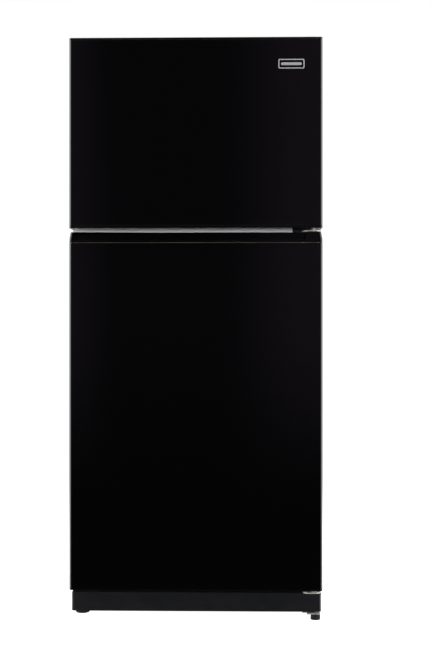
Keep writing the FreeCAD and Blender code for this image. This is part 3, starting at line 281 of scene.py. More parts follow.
def detail(piece, node, slot=None):
    """Smooths and paints a piece that rides with a frame node."""
    only(piece)
    bpy.ops.object.shade_smooth_by_angle(angle=SMOOTH_ANGLE)
    apply(piece, "WEIGHTED_NORMAL", keep_sharp=True, weight=80)
    slot = slot or SLOT_OF[node]
    piece.data.materials.clear()
    piece.data.materials.append(finish(slot))
    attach(piece, BODY_OF[node])
    return piece


def deliver(piece, node, *also):
    """Finishes a piece that stands for one or more frame nodes."""
    detail(piece, node)
    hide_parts(node, *also)
    return piece


def soften(node, width, segments=2):
    """A frame node with its edges softened."""
    piece = merged(node)
    if width:
        round_all(piece, width, segments)
    return deliver(piece, node)


# ---- Effects that several finishes share ----

def wire(tree, kind, inputs=(), **settings):
    """Adds a shader node, sets it, and feeds its inputs with values or with other nodes' outputs."""
    node = tree.nodes.new("ShaderNode" + kind)
    for name, value in settings.items():
        setattr(node, name, value)
    for name, value in dict(inputs).items():
        if isinstance(value, bpy.types.NodeSocket):
            tree.links.new(value, node.inputs[name])
        else:
            node.inputs[name].default_value = value
    return node


def object_place(tree):
    return wire(tree, "TexCoord").outputs["Object"]


def object_noise(tree, scale, detail):
    inputs = {"Vector": object_place(tree), "Scale": scale, "Detail": detail}
    return wire(tree, "TexNoise", inputs).outputs["Fac"]


def ramp(tree, source, start, end, low=0.0, high=1.0, **settings):
    """Maps a value from one range to another."""
    inputs = {"Value": source, "From Min": start, "From Max": end, "To Min": low, "To Max": high}
    return wire(tree, "MapRange", inputs, **settings).outputs["Result"]


def combine(tree, operation, first, second, clamp=False):
    return wire(tree, "Math", {0: first, 1: second}, operation=operation, use_clamp=clamp).outputs["Value"]


def shared_group(name, inputs, outputs, fill):
    """A node group with named sockets, made the first time it is asked for."""
    if name in bpy.data.node_groups:
        return bpy.data.node_groups[name]
    group = bpy.data.node_groups.new(name, "ShaderNodeTree")
    for label, value in inputs.items():
        kind = "NodeSocketFloat" if isinstance(value, float) else "NodeSocketVector"
        group.interface.new_socket(name=label, in_out="INPUT", socket_type=kind).default_value = value
    for label in outputs:
        group.interface.new_socket(name=label, in_out="OUTPUT", socket_type="NodeSocketFloat")
    given = group.nodes.new("NodeGroupInput").outputs
    out = group.nodes.new("NodeGroupOutput")
    for label, source in zip(outputs, fill(group, given)):
        group.links.new(source, out.inputs[label])
    return group


def grain_group():
    """Fine noise in object space, as a value between two limits and as a height."""
    def fill(tree, given):
        noise = object_noise(tree, given["Scale"], given["Detail"])
        return ramp(tree, noise, 0.3, 0.7, given["Low"], given["High"]), noise
    return shared_group("Fine Grain", {"Scale": 400.0, "Detail": 4.0, "Low": 0.3, "High": 0.5},
                        ("Value", "Height"), fill)


def stretched_group():
    """Long streaks along one axis, for brushed, drawn or wiped surfaces."""
    def fill(tree, given):
        stretched = wire(tree, "VectorMath", {0: object_place(tree), 1: given["Stretch"]},
                         operation="MULTIPLY")
        noise = wire(tree, "TexNoise", {"Vector": stretched.outputs["Vector"], "Scale": given["Scale"],
                                        "Detail": 5.0}).outputs["Fac"]
        return ramp(tree, noise, 0.3, 0.7, given["Low"], given["High"]), noise
    return shared_group("Streaks", {"Stretch": (1.0, 60.0, 60.0), "Scale": 30.0, "Low": 0.3, "High": 0.5},
                        ("Value", "Height"), fill)


def wear_group():
    """A mask that is 1 on worn outer edges, broken up by noise."""
    def fill(tree, given):
        soft = wire(tree, "Bevel", {"Radius": given["Radius"]}, samples=4)
        true = wire(tree, "NewGeometry")
        compare = wire(tree, "VectorMath", {0: soft.outputs["Normal"], 1: true.outputs["Normal"]},
                       operation="DOT_PRODUCT")
        edges = ramp(tree, compare.outputs["Value"], 0.995, 0.90)
        patches = ramp(tree, object_noise(tree, 90.0, 6.0), 0.42, 0.62)
        worn = combine(tree, "MULTIPLY", edges, patches)
        return (combine(tree, "MULTIPLY", worn, given["Amount"], clamp=True),)
    return shared_group("Edge Wear", {"Radius": 0.001, "Amount": 1.0}, ("Mask",), fill)


def dust_group():
    """A mask that is 1 where dust settles: faces that look up, in uneven patches."""
    def fill(tree, given):
        true = wire(tree, "NewGeometry")
        split = wire(tree, "SeparateXYZ", {"Vector": true.outputs["Normal"]})
        upward = ramp(tree, split.outputs["Z"], 0.2, 0.95)
        patches = ramp(tree, object_noise(tree, given["Scale"], 8.0), 0.35, 0.75)
        settled = combine(tree, "MULTIPLY", upward, patches)
        return (combine(tree, "MULTIPLY", settled, given["Amount"]),)
    return shared_group("Settled Dust", {"Amount": 0.5, "Scale": 12.0}, ("Mask",), fill)


# ---- Finishes ----

class Finish:
    """A material with one Principled shader, and short ways to feed it."""

    def __init__(self, name, colour, roughness, metallic=0.0, **sockets):
        self.material = bpy.data.materials.new(name)
        self.material.use_nodes = True
        self.tree = self.material.node_tree
        self.shader = self.tree.nodes["Principled BSDF"]
        self.set("Base Color", (*colour, 1.0))
        self.set("Roughness", roughness)
        self.set("Metallic", metallic)
        for socket, value in sockets.items():
            self.set(socket.replace("_", " "), value)
        self.height = None

    def set(self, socket, value):
        self.shader.inputs[socket].default_value = value

    def add(self, kind, inputs=(), **settings):
        return wire(self.tree, kind, inputs, **settings)

    def link(self, source, target):
        self.tree.links.new(source, target)

    def group(self, group, **inputs):
        return self.add("Group", inputs, node_tree=group)

    def bump(self, height, strength, distance):
        """Adds a layer of relief over any relief the finish already has."""
        node = self.add("Bump", {"Height": height, "Strength": strength, "Distance": distance})
        if self.height:
            self.link(self.height, node.inputs["Normal"])
        self.height = node.outputs["Normal"]
        self.link(self.height, self.shader.inputs["Normal"])
        return self

    def rough(self, low, high, scale, detail=4.0):
        grain = self.group(grain_group(), Scale=scale, Detail=detail, Low=low, High=high)
        self.link(grain.outputs["Value"], self.shader.inputs["Roughness"])
        return self

    def tint(self, mask, colour):
        """Lays another colour over the base where a mask is 1."""
        mix = self.add("Mix", data_type="RGBA")
        base = self.shader.inputs["Base Color"]
        if base.is_linked:
            self.link(base.links[0].from_socket, mix.inputs["A"])
        else:
            mix.inputs["A"].default_value = base.default_value
        mix.inputs["B"].default_value = (*colour, 1.0)
        self.link(mask, mix.inputs["Factor"])
        self.link(mix.outputs["Result"], base)
        return self

    def mottle(self, colour, scale, detail=5.0, amount=1.0):
        """Uneven patches of a second colour."""
        grain = self.group(grain_group(), Scale=scale, Detail=detail, Low=0.0, High=amount)
        return self.tint(grain.outputs["Value"], colour)

    def wear(self, colour, radius=0.0008, amount=1.0):
        node = self.group(wear_group(), Radius=radius, Amount=amount)
        return self.tint(node.outputs["Mask"], colour)

    def dust(self, colour=(0.45, 0.43, 0.40), amount=0.35, scale=12.0):
        node = self.group(dust_group(), Amount=amount, Scale=scale)
        return self.tint(node.outputs["Mask"], colour)

    def relief(self, scale, strength, distance, detail=4.0):
        grain = self.group(grain_group(), Scale=scale, Detail=detail)
        return self.bump(grain.outputs["Height"], strength, distance)


def gloss_black_steel():
    finish = Finish("Gloss black door steel", (0.0012, 0.0012, 0.0014), 0.05, Coat_Weight=0.6,
                    Coat_Roughness=0.02)
    finish.rough(0.03, 0.09, 6.0, 6.0)
    return finish.relief(55.0, 0.015, 0.0005, 2.0).material


def gloss_black_plastic():
    finish = Finish("Gloss black trim plastic", (0.0014, 0.0014, 0.0016), 0.10)
    finish.rough(0.07, 0.13, 40.0)
    return finish.relief(900.0, 0.03, 0.0002).wear((0.010, 0.010, 0.012), 0.0006, 0.4).material


def cabinet_paint():
    finish = Finish("Textured black cabinet paint", (0.012, 0.012, 0.013), 0.42)
    finish.rough(0.38, 0.46, 300.0)
    cells = finish.add("TexVoronoi", {"Vector": object_place(finish.tree), "Scale": 420.0},
                       feature="SMOOTH_F1")
    return finish.bump(cells.outputs["Distance"], 0.35, 0.0005).material


def rear_paint():
    finish = Finish("Grey coated rear steel", (0.30, 0.31, 0.32), 0.45, 0.3)
    finish.rough(0.38, 0.56, 30.0).mottle((0.24, 0.25, 0.26), 9.0, 6.0, 0.8)
    return finish.relief(260.0, 0.15, 0.0004).dust(amount=0.5).material


def frame_steel():
    finish = Finish("Galvanised frame steel", (0.42, 0.43, 0.44), 0.38, 0.85)
    spangle = finish.add("TexVoronoi", {"Vector": object_place(finish.tree), "Scale": 70.0})
    split = finish.add("SeparateColor", {"Color": spangle.outputs["Color"]})
    shade = ramp(finish.tree, split.outputs["Red"], 0.0, 1.0, 0.28, 0.50)
    finish.link(shade, finish.shader.inputs["Roughness"])
    finish.tint(split.outputs["Green"], (0.50, 0.51, 0.52))
    return finish.relief(300.0, 0.08, 0.0002).material


def zinc_steel():
    finish = Finish("Zinc plated hinge steel", (0.62, 0.62, 0.59), 0.40, 0.45)
    finish.rough(0.32, 0.50, 80.0).mottle((0.52, 0.51, 0.45), 22.0, 4.0, 0.6)
    return finish.relief(500.0, 0.10, 0.0002).wear((0.80, 0.80, 0.80), 0.0007, 0.6).material


def rail_grey():
    finish = Finish("Satin pale rail paint", (0.64, 0.64, 0.65), 0.42)
    finish.rough(0.36, 0.50, 60.0).mottle((0.58, 0.58, 0.60), 30.0, 4.0, 0.6)
    return finish.relief(700.0, 0.10, 0.0002).material


def charcoal_plastic():
    finish = Finish("Charcoal kick plate plastic", (0.008, 0.0085, 0.0100), 0.36)
    finish.rough(0.32, 0.48, 60.0)
    return finish.relief(1400.0, 0.25, 0.0003).wear((0.07, 0.07, 0.075), 0.001, 0.5).material


def foam():
    finish = Finish("Poured foam", (0.72, 0.62, 0.36), 0.9)
    finish.mottle((0.60, 0.50, 0.26), 40.0)
    return finish.relief(600.0, 0.5, 0.001).material


def liner_white():
    finish = Finish("White vacuum formed liner", (0.78, 0.80, 0.80), 0.26, Coat_Weight=0.25,
                    Coat_Roughness=0.2)
    finish.rough(0.24, 0.32, 120.0)
    return finish.relief(400.0, 0.05, 0.0002).mottle((0.75, 0.77, 0.775), 2.5, 3.0, 0.35).material


def gasket_grey():
    finish = Finish("Grey vinyl gasket", (0.20, 0.205, 0.21), 0.55)
    finish.rough(0.45, 0.65, 120.0)
    return finish.relief(800.0, 0.12, 0.0003).dust((0.30, 0.29, 0.27), 0.4, 40.0).material


def bin_clear():
    finish = Finish("Clear bin plastic", (0.86, 0.93, 0.96), 0.06, IOR=1.5, Transmission_Weight=0.92)
    return finish.rough(0.04, 0.12, 50.0).relief(120.0, 0.03, 0.0005).material


def shelf_glass():
    finish = Finish("Shelf glass", (0.86, 0.97, 0.93), 0.03, IOR=1.5, Transmission_Weight=1.0)
    return finish.rough(0.02, 0.06, 15.0).material


def trim_white():
    finish = Finish("Satin white trim", (0.76, 0.77, 0.77), 0.34)
    finish.rough(0.28, 0.42, 90.0)
    return finish.relief(1100.0, 0.10, 0.0002).material


def shelf_wire():
    finish = Finish("Epoxy coated wire", (0.82, 0.82, 0.80), 0.30, Coat_Weight=0.4)
    return finish.rough(0.24, 0.38, 200.0).relief(300.0, 0.12, 0.0004).material


def condenser_black():
    finish = Finish("Condenser black paint", (0.012, 0.012, 0.012), 0.40)
    finish.rough(0.34, 0.52, 150.0)
    return finish.dust((0.20, 0.19, 0.17), 0.6, 60.0).wear((0.30, 0.22, 0.16), 0.0006, 0.3).material


def compressor_black():
    finish = Finish("Compressor enamel", (0.010, 0.010, 0.011), 0.18, Coat_Weight=0.6, Coat_Roughness=0.15)
    finish.rough(0.14, 0.30, 40.0)
    return finish.relief(70.0, 0.10, 0.001).dust((0.24, 0.22, 0.19), 0.5, 25.0).material


def rubber_black():
    finish = Finish("Black moulded rubber", (0.007, 0.007, 0.007), 0.62)
    finish.rough(0.52, 0.75, 150.0)
    return finish.relief(900.0, 0.20, 0.0003).wear((0.025, 0.025, 0.025), 0.0008, 0.6).material


def copper():
    finish = Finish("Drawn copper", (0.62, 0.27, 0.15), 0.26, 1.0)
    finish.rough(0.20, 0.45, 90.0).mottle((0.28, 0.13, 0.08), 35.0, 6.0, 0.7)
    return finish.material


def aluminium_fin():
    finish = Finish("Mill aluminium fins", (0.72, 0.73, 0.75), 0.32, 1.0)
    return finish.rough(0.26, 0.44, 60.0).mottle((0.62, 0.63, 0.64), 30.0, 4.0, 0.5).material


def badge_silver():
    finish = Finish("Brushed badge silver", (0.42, 0.42, 0.43), 0.30, 0.25)
    streaks = finish.group(stretched_group(), Stretch=(1.0, 80.0, 80.0), Scale=40.0, Low=0.20, High=0.42)
    finish.link(streaks.outputs["Value"], finish.shader.inputs["Roughness"])
    finish.bump(streaks.outputs["Height"], 0.10, 0.0002)
    return finish.material


def pan_plastic():
    finish = Finish("Black recycled plastic", (0.020, 0.020, 0.022), 0.50)
    finish.rough(0.42, 0.60, 80.0)
    return finish.relief(400.0, 0.20, 0.0004).dust((0.18, 0.17, 0.15), 0.5, 30.0).material


def lens_frosted():
    finish = Finish("Frosted lamp cover", (0.92, 0.92, 0.90), 0.35, IOR=1.45, Transmission_Weight=0.55)
    ribs = finish.add("TexWave", {"Vector": object_place(finish.tree), "Scale": 160.0}, bands_direction="X")
    return finish.bump(ribs.outputs["Fac"], 0.25, 0.0006).material


FINISHES = {make.__name__: make for make in (
    gloss_black_steel, gloss_black_plastic, cabinet_paint, rear_paint, frame_steel, rail_grey, zinc_steel,
    charcoal_plastic, foam, liner_white, gasket_grey, bin_clear, shelf_glass, trim_white, shelf_wire,
    condenser_black, compressor_black, rubber_black, copper, aluminium_fin, badge_silver, pan_plastic,
    lens_frosted)}
made = {}


def finish(slot):
    """The material of a slot, made the first time it is asked for."""
    if slot not in made:
        made[slot] = FINISHES[slot]()
    return made[slot]


# ---- Sizes and colours a user would change ----

class StageSettings(bpy.types.PropertyGroup):
    camera_distance: bpy.props.FloatProperty(
        name="Camera distance", description="From the lens to the doors",
        default=3.0, min=1.0, unit="LENGTH")
    camera_height: bpy.props.FloatProperty(
        name="Camera height", description="Lens above the floor",
        default=0.825, min=0.1, unit="LENGTH")
    camera_side: bpy.props.FloatProperty(
        name="Camera side step", description="Lens to the right of the middle",
        default=0.118, unit="LENGTH")
    camera_turn: bpy.props.FloatProperty(
        name="Camera turn", description="Turn towards the left",
        default=math.radians(1.15), subtype="ANGLE")
    lens: bpy.props.FloatProperty(
        name="Lens", description="Focal length for a 36 mm frame",
        default=60.3, min=10.0)
    floor_glow: bpy.props.FloatProperty(
        name="Floor glow", description="Extra brightness of the pale floor",
        default=0.95, min=0.0)
    floor_colour: bpy.props.FloatVectorProperty(
        name="Floor colour", description="Pale studio floor",
        default=(0.86, 0.86, 0.86), subtype="COLOR", min=0, max=1)


class REFRIGERATOR_OT_stage(bpy.types.Operator):
    """Floor, light and camera"""
    bl_idname = "refrigerator.stage"
    bl_label = "Stage"

    def execute(self, context):
        settings = context.scene.refrigerator_stage
        context.scene.view_settings.view_transform = "Standard"
        self.make_world(context.scene)
        self.make_floor(settings)
        gap = (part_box("fridge_door_skin")[1][2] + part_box("freezer_door_skin")[0][2]) / 2
        # The two side panels only show in gloss, as lines along the rounded edges. The softboxes
        # only shed light.
        for name, place, aim, size, power, lights, mirrored in (
                ("left panel", (-3.2, -1.2, 0.8), (0, 0, 0.8), (2.6, 5.2), 130, False, True),
                ("right panel", (3.3, -1.1, 0.8), (0, 0, 0.8), (2.6, 5.2), 130, False, True),
                ("left softbox", (-3.2, -1.6, 1.5), (0, 0, 0.8), (1.6, 2.8), 34, True, False),
                ("right softbox", (3.4, -1.2, 1.5), (0, 0, 0.8), (1.6, 2.8), 30, True, False),
                ("front strip", (0.1, -3.7, gap), (0.1, 0, gap), (2.4, 0.5), 56, True, False),
                ("overhead", (0, -0.8, 4.2), (0, 0, 0.8), (3.0, 3.0), 80, True, True),
                ("rear softbox", (1.6, 4.2, 2.2), (0, 0, 0.8), (2.4, 2.4), 80, True, False)):
            self.make_light(name, place, aim, size, power, lights, mirrored)
        camera = bpy.data.cameras.new("Camera")
        camera.lens = settings.lens
        camera.sensor_width = 36
        viewer = bpy.data.objects.new("Camera", camera)
        context.scene.collection.objects.link(viewer)
        viewer.location = (settings.camera_side, CAD_LOW.y - settings.camera_distance,
                           settings.camera_height)
        viewer.rotation_euler = (math.pi / 2, 0, settings.camera_turn)
        context.scene.camera = viewer
        return {"FINISHED"}

    def make_world(self, scene):
        """White to the camera, and to the object a studio that is dark in front of the doors."""
        world = bpy.data.worlds.new("Studio")
        scene.world = world
        world.use_nodes = True
        tree = world.node_tree
        tree.nodes.clear()
        smooth = {"interpolation_type": "SMOOTHSTEP"}
        place = wire(tree, "TexCoord").outputs["Generated"]
        x, y, z = wire(tree, "SeparateXYZ", {"Vector": place}).outputs
        sides = combine(tree, "MULTIPLY", ramp(tree, y, -0.93, -0.55, 0.0, 0.45, **smooth),
                        ramp(tree, z, -0.7, 0.2, 0.45, 1.0, **smooth))
        aside = combine(tree, "ADD", ramp(tree, x, -0.155, -0.11, 0.055, 0.006, **smooth),
                        ramp(tree, x, -0.02, 0.07, 0.006, 0.07, **smooth))
        front = combine(tree, "MULTIPLY", aside, ramp(tree, z, -0.18, 0.02, 0.0, 1.0, **smooth))
        faded = ramp(tree, y, -0.93, -0.80, 0.0, 1.0, **smooth)
        tint = wire(tree, "Mix", {"A": (1.0, 0.80, 1.0, 1.0), "B": (1.0, 1.0, 1.0, 1.0), "Factor": faded},
                    data_type="RGBA")
        studio = wire(tree, "Background", {"Strength": combine(tree, "ADD", sides, front),
                                           "Color": tint.outputs["Result"]})
        white = wire(tree, "Background", {"Color": (1.0, 1.0, 1.0, 1.0)})
        mix = wire(tree, "MixShader", {"Fac": wire(tree, "LightPath").outputs["Is Camera Ray"],
                                       1: studio.outputs["Background"], 2: white.outputs["Background"]})
        wire(tree, "OutputWorld", {"Surface": mix.outputs["Shader"]})

    def make_floor(self, settings):
        """A pale floor that fades into the backdrop away from the appliance."""
        bpy.ops.object.select_all(action="DESELECT")
        bpy.ops.mesh.primitive_plane_add(size=12)
        floor = settle("studio_floor")
        surface = Finish("Pale floor", tuple(settings.floor_colour), 0.6)
        surface.rough(0.55, 0.7, 3.0)
        far = surface.add("VectorMath", {0: object_place(surface.tree)}, operation="LENGTH").outputs["Value"]
        surface.link(ramp(surface.tree, far, 0.7, 2.6, 1.0, 0.0, interpolation_type="SMOOTHSTEP"),
                     surface.shader.inputs["Alpha"])
        # Seen straight on, the floor glows a little, so it stays pale under the appliance.
        glow = combine(surface.tree, "MULTIPLY", surface.add("LightPath").outputs["Is Camera Ray"],
                       settings.floor_glow)
        surface.link(glow, surface.shader.inputs["Emission Strength"])
        surface.set("Emission Color", (1.0, 1.0, 1.0, 1.0))
        floor.data.materials.append(surface.material)
        floor.visible_glossy = False
        floor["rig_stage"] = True

    def make_light(self, name, place, aim, size, power, lights, mirrored):
        data = bpy.data.lights.new(name, "AREA")
        data.shape = "RECTANGLE"
        data.size, data.size_y = size
        data.energy = power
        light = bpy.data.objects.new(name, data)
        bpy.context.scene.collection.objects.link(light)
        light.location = place
        light.rotation_euler = (Vector(aim) - Vector(place)).to_track_quat("-Z", "Y").to_euler()
        light.visible_camera = False
        light.visible_diffuse = lights
        light.visible_glossy = mirrored


class DoorSettings(bpy.types.PropertyGroup):
    edge_radius: bpy.props.FloatProperty(
        name="Edge radius", description="Rounded upright edges of both doors",
        default=0.007, min=0.001, unit="LENGTH")
    sheet: bpy.props.FloatProperty(
        name="Sheet", description="Thickness of the painted steel",
        default=0.0008, min=0.0002, unit="LENGTH")
    rolled_rim: bpy.props.FloatProperty(
        name="Rolled rim", description="Rounding where the steel meets the caps",
        default=0.0003, min=0.0001, unit="LENGTH")
    lip_radius: bpy.props.FloatProperty(
        name="Lip radius", description="Softened edges of the grip and the caps",
        default=0.0012, min=0.0001, unit="LENGTH")
    cap_height: bpy.props.FloatProperty(
        name="Grip cap height", description="From the steel to the top of the door",
        default=0.0288, min=0.01, unit="LENGTH")
    ridge_radius: bpy.props.FloatProperty(
        name="Ridge radius", description="Rounding of the liner's ridge",
        default=0.007, min=0.001, unit="LENGTH")
    bulb_groove: bpy.props.FloatProperty(
        name="Bellows groove", description="Depth of the fold in the gaskets",
        default=0.0035, min=0.0, unit="LENGTH")


class BinSettings(bpy.types.PropertyGroup):
    wall: bpy.props.FloatProperty(
        name="Wall", description="Thickness of bins",
        default=0.0025, min=0.001, unit="LENGTH")
    rim: bpy.props.FloatProperty(
        name="Rim", description="Height of the band round the top of a bin",
        default=0.009, min=0.002, unit="LENGTH")
    corner: bpy.props.FloatProperty(
        name="Corner radius", description="Rounded corners of the bins",
        default=0.020, min=0.002, unit="LENGTH")


class BadgeSettings(bpy.types.PropertyGroup):
    corner: bpy.props.FloatProperty(
        name="Corner radius", description="Corners of the plain plate",
        default=0.004, min=0.0005, unit="LENGTH")
    rim: bpy.props.FloatProperty(
        name="Rim", description="Width of the raised rim",
        default=0.0030, min=0.0002, unit="LENGTH")
    bar_length: bpy.props.FloatProperty(
        name="Bar length", description="Plain bar in the middle of the plate",
        default=0.057, min=0.005, unit="LENGTH")
    bar_height: bpy.props.FloatProperty(
        name="Bar height", description="Plain bar in the middle of the plate",
        default=0.0080, min=0.001, unit="LENGTH")


class FootSettings(bpy.types.PropertyGroup):
    ribs: bpy.props.IntProperty(
        name="Ribs", description="Grip ribs round a levelling foot",
        default=24, min=6, max=60)
    rib_depth: bpy.props.FloatProperty(
        name="Rib depth", description="Depth of the grip ribs",
        default=0.0012, min=0.0002, unit="LENGTH")


class REFRIGERATOR_OT_doors(bpy.types.Operator):
    """Painted door skins"""
    bl_idname = "refrigerator.doors"
    bl_label = "Door skins"

    def execute(self, context):
        settings = context.scene.refrigerator_doors
        for prefix in ("freezer", "fridge"):
            node = f"{prefix}_door_skin"
            low, high = map(Vector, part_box(node))
            skin = block(node + "_sheet", low, high)
            bevel(skin, settings.edge_radius, 14, lambda a, b: along("Z")(a, b) and a.y < low.y + 0.001)
            rolled = settings.rolled_rim
            if prefix == "fridge":
                bevel(skin, rolled * 4, 5,
                      lambda a, b: min(a.z, b.z) > high.z - SAME and min(a.y, b.y) < high.y - 0.001)
            bevel(skin, rolled, 3, lambda a, b: abs(a.z - b.z) < SAME and min(a.y, b.y) < high.y - 0.001
                  and (prefix == "freezer" or a.z < low.z + 1e-5))
            remove_faces(skin, lambda centre, normal: abs(normal.z) > 0.99 or normal.y > 0.99)
            deliver(hollow(skin, settings.sheet), node)
        return {"FINISHED"}


class REFRIGERATOR_OT_door_caps(bpy.types.Operator):
    """Moulded caps at the ends of both doors, with the grips"""
    bl_idname = "refrigerator.door_caps"
    bl_label = "Door caps"

    def execute(self, context):
        radius = context.scene.refrigerator_doors.lip_radius
        soften("freezer_door_top_cap", radius / 2, 3)
        soften("freezer_door_bottom_cap", radius / 4, 3)
        node = "fridge_door_bottom_cap"
        low, high = map(Vector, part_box(node))
        cap = merged(node)
        bevel(cap, radius * 1.5, 6,
              lambda a, b: max(a.z, b.z) < low.z + 1e-5 and max(a.y, b.y) < high.y - 0.002)
        deliver(round_all(cap, radius / 4, 3), node)
        node = "fridge_door_top_cap"
        low, high = map(Vector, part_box(node))
        block_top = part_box("fridge_door_skin")[1][2] + context.scene.refrigerator_doors.cap_height
        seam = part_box("fridge_door_skin")[1][2]
        cap = merged(node)
        for share, inward in ((0.35, 0.0006), (0.7, 0.0020), (1.0, 0.0040)):
            level = seam + share * (block_top - seam)
            if share < 1.0:
                slice_at(cap, "Z", level)
            for sign in (-1, 1):
                shift(cap, (-sign * inward, 0, 0),
                      lambda point: abs(point.z - level) < 1e-5 and sign * point.x > high.x - GRIP_END)
        deliver(round_all(cap, radius, 3), node)
        return {"FINISHED"}


class REFRIGERATOR_OT_badge(bpy.types.Operator):
    """Silver rim round a plain dark field with one plain bar"""
    bl_idname = "refrigerator.badge"
    bl_label = "Badge"

    def execute(self, context):
        settings = context.scene.refrigerator_badge
        low, high = map(Vector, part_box("badge"))
        inset = Vector((settings.rim, 0, settings.rim))
        rim = block("badge_rim", low, high)
        bevel(rim, settings.corner, 8, along("Y"))
        hole = block("badge_hole", low + inset - Vector((0, 0.001, 0)), high - inset + Vector((0, 0.001, 0)))
        bevel(hole, settings.corner - settings.rim * 0.6, 8, along("Y"))
        cut(rim, hole)
        deliver(round_all(rim, 0.0003, 3, 50), "badge")
        field = block("badge_field", low + inset * 0.8 + Vector((0, 0.0004, 0)), high - inset * 0.8)
        bevel(field, settings.corner - settings.rim * 0.6, 8, along("Y"))
        detail(field, "badge", slot="gloss_black_plastic")
        middle = (low + high) / 2
        half = Vector((settings.bar_length / 2, 0, settings.bar_height / 2))
        bar = block("badge_bar", Vector((middle.x, low.y + 0.0001, middle.z)) - half,
                    Vector((middle.x, high.y, middle.z)) + half)
        bevel(bar, settings.bar_height * 0.45, 6, along("Y"))
        detail(round_all(bar, 0.0002, 2, 50), "badge")
        return {"FINISHED"}


class REFRIGERATOR_OT_door_liners(bpy.types.Operator):
    """Formed inner faces of both doors, with their ridges and bin rests"""
    bl_idname = "refrigerator.door_liners"
    bl_label = "Door liners"

    def execute(self, context):
        radius = context.scene.refrigerator_doors.ridge_radius
        for prefix in ("freezer", "fridge"):
            node = f"{prefix}_door_liner"
            liner = merged(node)
            apply(self.weigh(liner), "BEVEL", width=radius, segments=4, limit_method="WEIGHT")
            deliver(liner, node)
        return {"FINISHED"}

    def weigh(self, liner):
        """Marks the ridge's long edges to be rounded, and leaves the rests and the plate's rim."""
        mesh = liner.data
        marks = mesh.attributes.new("bevel_weight_edge", "FLOAT", "EDGE")
        rear = max(vertex.co.y for vertex in mesh.vertices)
        for edge in mesh.edges:
            first, last = (mesh.vertices[index].co for index in edge.vertices)
            on_ridge = first.y > rear - 1e-4 and last.y > rear - 1e-4
            outside = RIDGE_FROM < abs(first.x) < RIDGE_TO
            marks.data[edge.index].value = 1.0 if on_ridge and outside else 0.0
        return liner


class REFRIGERATOR_OT_gaskets(bpy.types.Operator):
    """Magnetic vinyl gaskets with a folded bellows"""
    bl_idname = "refrigerator.gaskets"
    bl_label = "Gaskets"

    def execute(self, context):
        groove = context.scene.refrigerator_doors.bulb_groove
        for prefix in ("freezer", "fridge"):
            node = f"{prefix}_door_gasket"
            low, high = map(Vector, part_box(node))
            wide = Vector((GASKET_WIDTH, 0, GASKET_WIDTH))
            seal = block(node + "_bellows", low, high)
            deep = Vector((0, 0.01, 0))
            hole = block("gasket_hole", low + wide - deep, high - wide + deep)
            cut(seal, hole)
            pick(seal, "FACE", lambda centre, normal: abs(normal.y) < 0.1)
            bpy.ops.mesh.inset(thickness=0.0028, depth=0)
            bpy.ops.mesh.inset(thickness=0.0012, depth=-groove)
            done()
            apply(seal, "BEVEL", width=0.0012, segments=3, limit_method="ANGLE",
                  angle_limit=math.radians(40))
            deliver(seal, node)
        return {"FINISHED"}


class REFRIGERATOR_OT_bins(bpy.types.Operator):
    """Clear door bins with a rim standing proud above a shallow groove"""
    bl_idname = "refrigerator.bins"
    bl_label = "Door bins"

    def execute(self, context):
        settings = context.scene.refrigerator_bins
        for node in ("freezer_bin_lower", "freezer_bin_upper", "bottle_bin", "fridge_bin_middle",
                     "fridge_bin_upper"):
            low, high = map(Vector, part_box(node))
            tray = block(node + "_tray", low, high)
            bevel(tray, settings.corner, 8, lambda a, b: along("Z")(a, b) and a.y > high.y - 0.001)
            bevel(tray, 0.004, 4, lambda a, b: max(a.z, b.z) < low.z + 0.001)
            # A shallow groove all round leaves the rim standing proud.
            pick(tray, "FACE", lambda centre, normal: abs(normal.z) < 0.1 and normal.y > -0.9)
            bpy.ops.mesh.inset(thickness=settings.rim, depth=0, use_select_inset=False)
            bpy.ops.mesh.inset(thickness=0.0006, depth=-0.0008)
            done()
            remove_faces(tray, lambda centre, normal: normal.z > 0.9)
            hollow(tray, settings.wall)
            apply(tray, "BEVEL", width=0.0006, segments=2, limit_method="ANGLE",
                  angle_limit=math.radians(50))
            deliver(tray, node)
        return {"FINISHED"}


class REFRIGERATOR_OT_shelves(bpy.types.Operator):
    """Glass shelves with their trims, and the wire shelf"""
    bl_idname = "refrigerator.shelves"
    bl_label = "Shelves"

    def execute(self, context):
        for node in ("fridge_shelf_upper", "fridge_shelf_lower", "crisper_cover"):
            soften(node, 0.0008, 3)
        soften("shelf_trims", 0.0016, 4)
        soften("freezer_shelf", 0)
        return {"FINISHED"}


class REFRIGERATOR_OT_crispers(bpy.types.Operator):
    """Clear crisper drawers with a lipped handle"""
    bl_idname = "refrigerator.crispers"
    bl_label = "Crispers"

    def execute(self, context):
        for side in ("left", "right"):
            soften(f"crisper_drawer_{side}", 0.0009, 3)
        return {"FINISHED"}


class REFRIGERATOR_OT_controls(bpy.types.Operator):
    """Control housing, dial, lamp cover and light switch"""
    bl_idname = "refrigerator.controls"
    bl_label = "Controls"

    def execute(self, context):
        soften("control_housing", 0.0012, 3)
        soften("thermostat_knob", 0.0010, 4)
        soften("lamp_cover", 0.0012, 3)
        soften("light_switch_plunger", 0)
        low, high = map(Vector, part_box("thermostat_knob"))
        centre = Vector(((low.x + high.x) / 2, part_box("control_housing")[0][1], (low.z + high.z) / 2))
        ticks = []
        for index in range(9):
            tick = block("dial_tick", (TICK_NEAR, DIAL_FACE - 0.0003, -TICK_HALF),
                         (TICK_FAR, DIAL_FACE + 0.0005, TICK_HALF))
            open_all(tick)
            bpy.ops.transform.rotate(value=math.radians(210 - 30 * index), orient_axis="Y",
                                     center_override=(0, 0, 0))
            bpy.ops.transform.translate(value=(centre.x, 0, centre.z))
            done()
            ticks.append(tick)
        detail(join("dial_ticks", ticks), "control_housing", slot="pan_plastic")
        return {"FINISHED"}


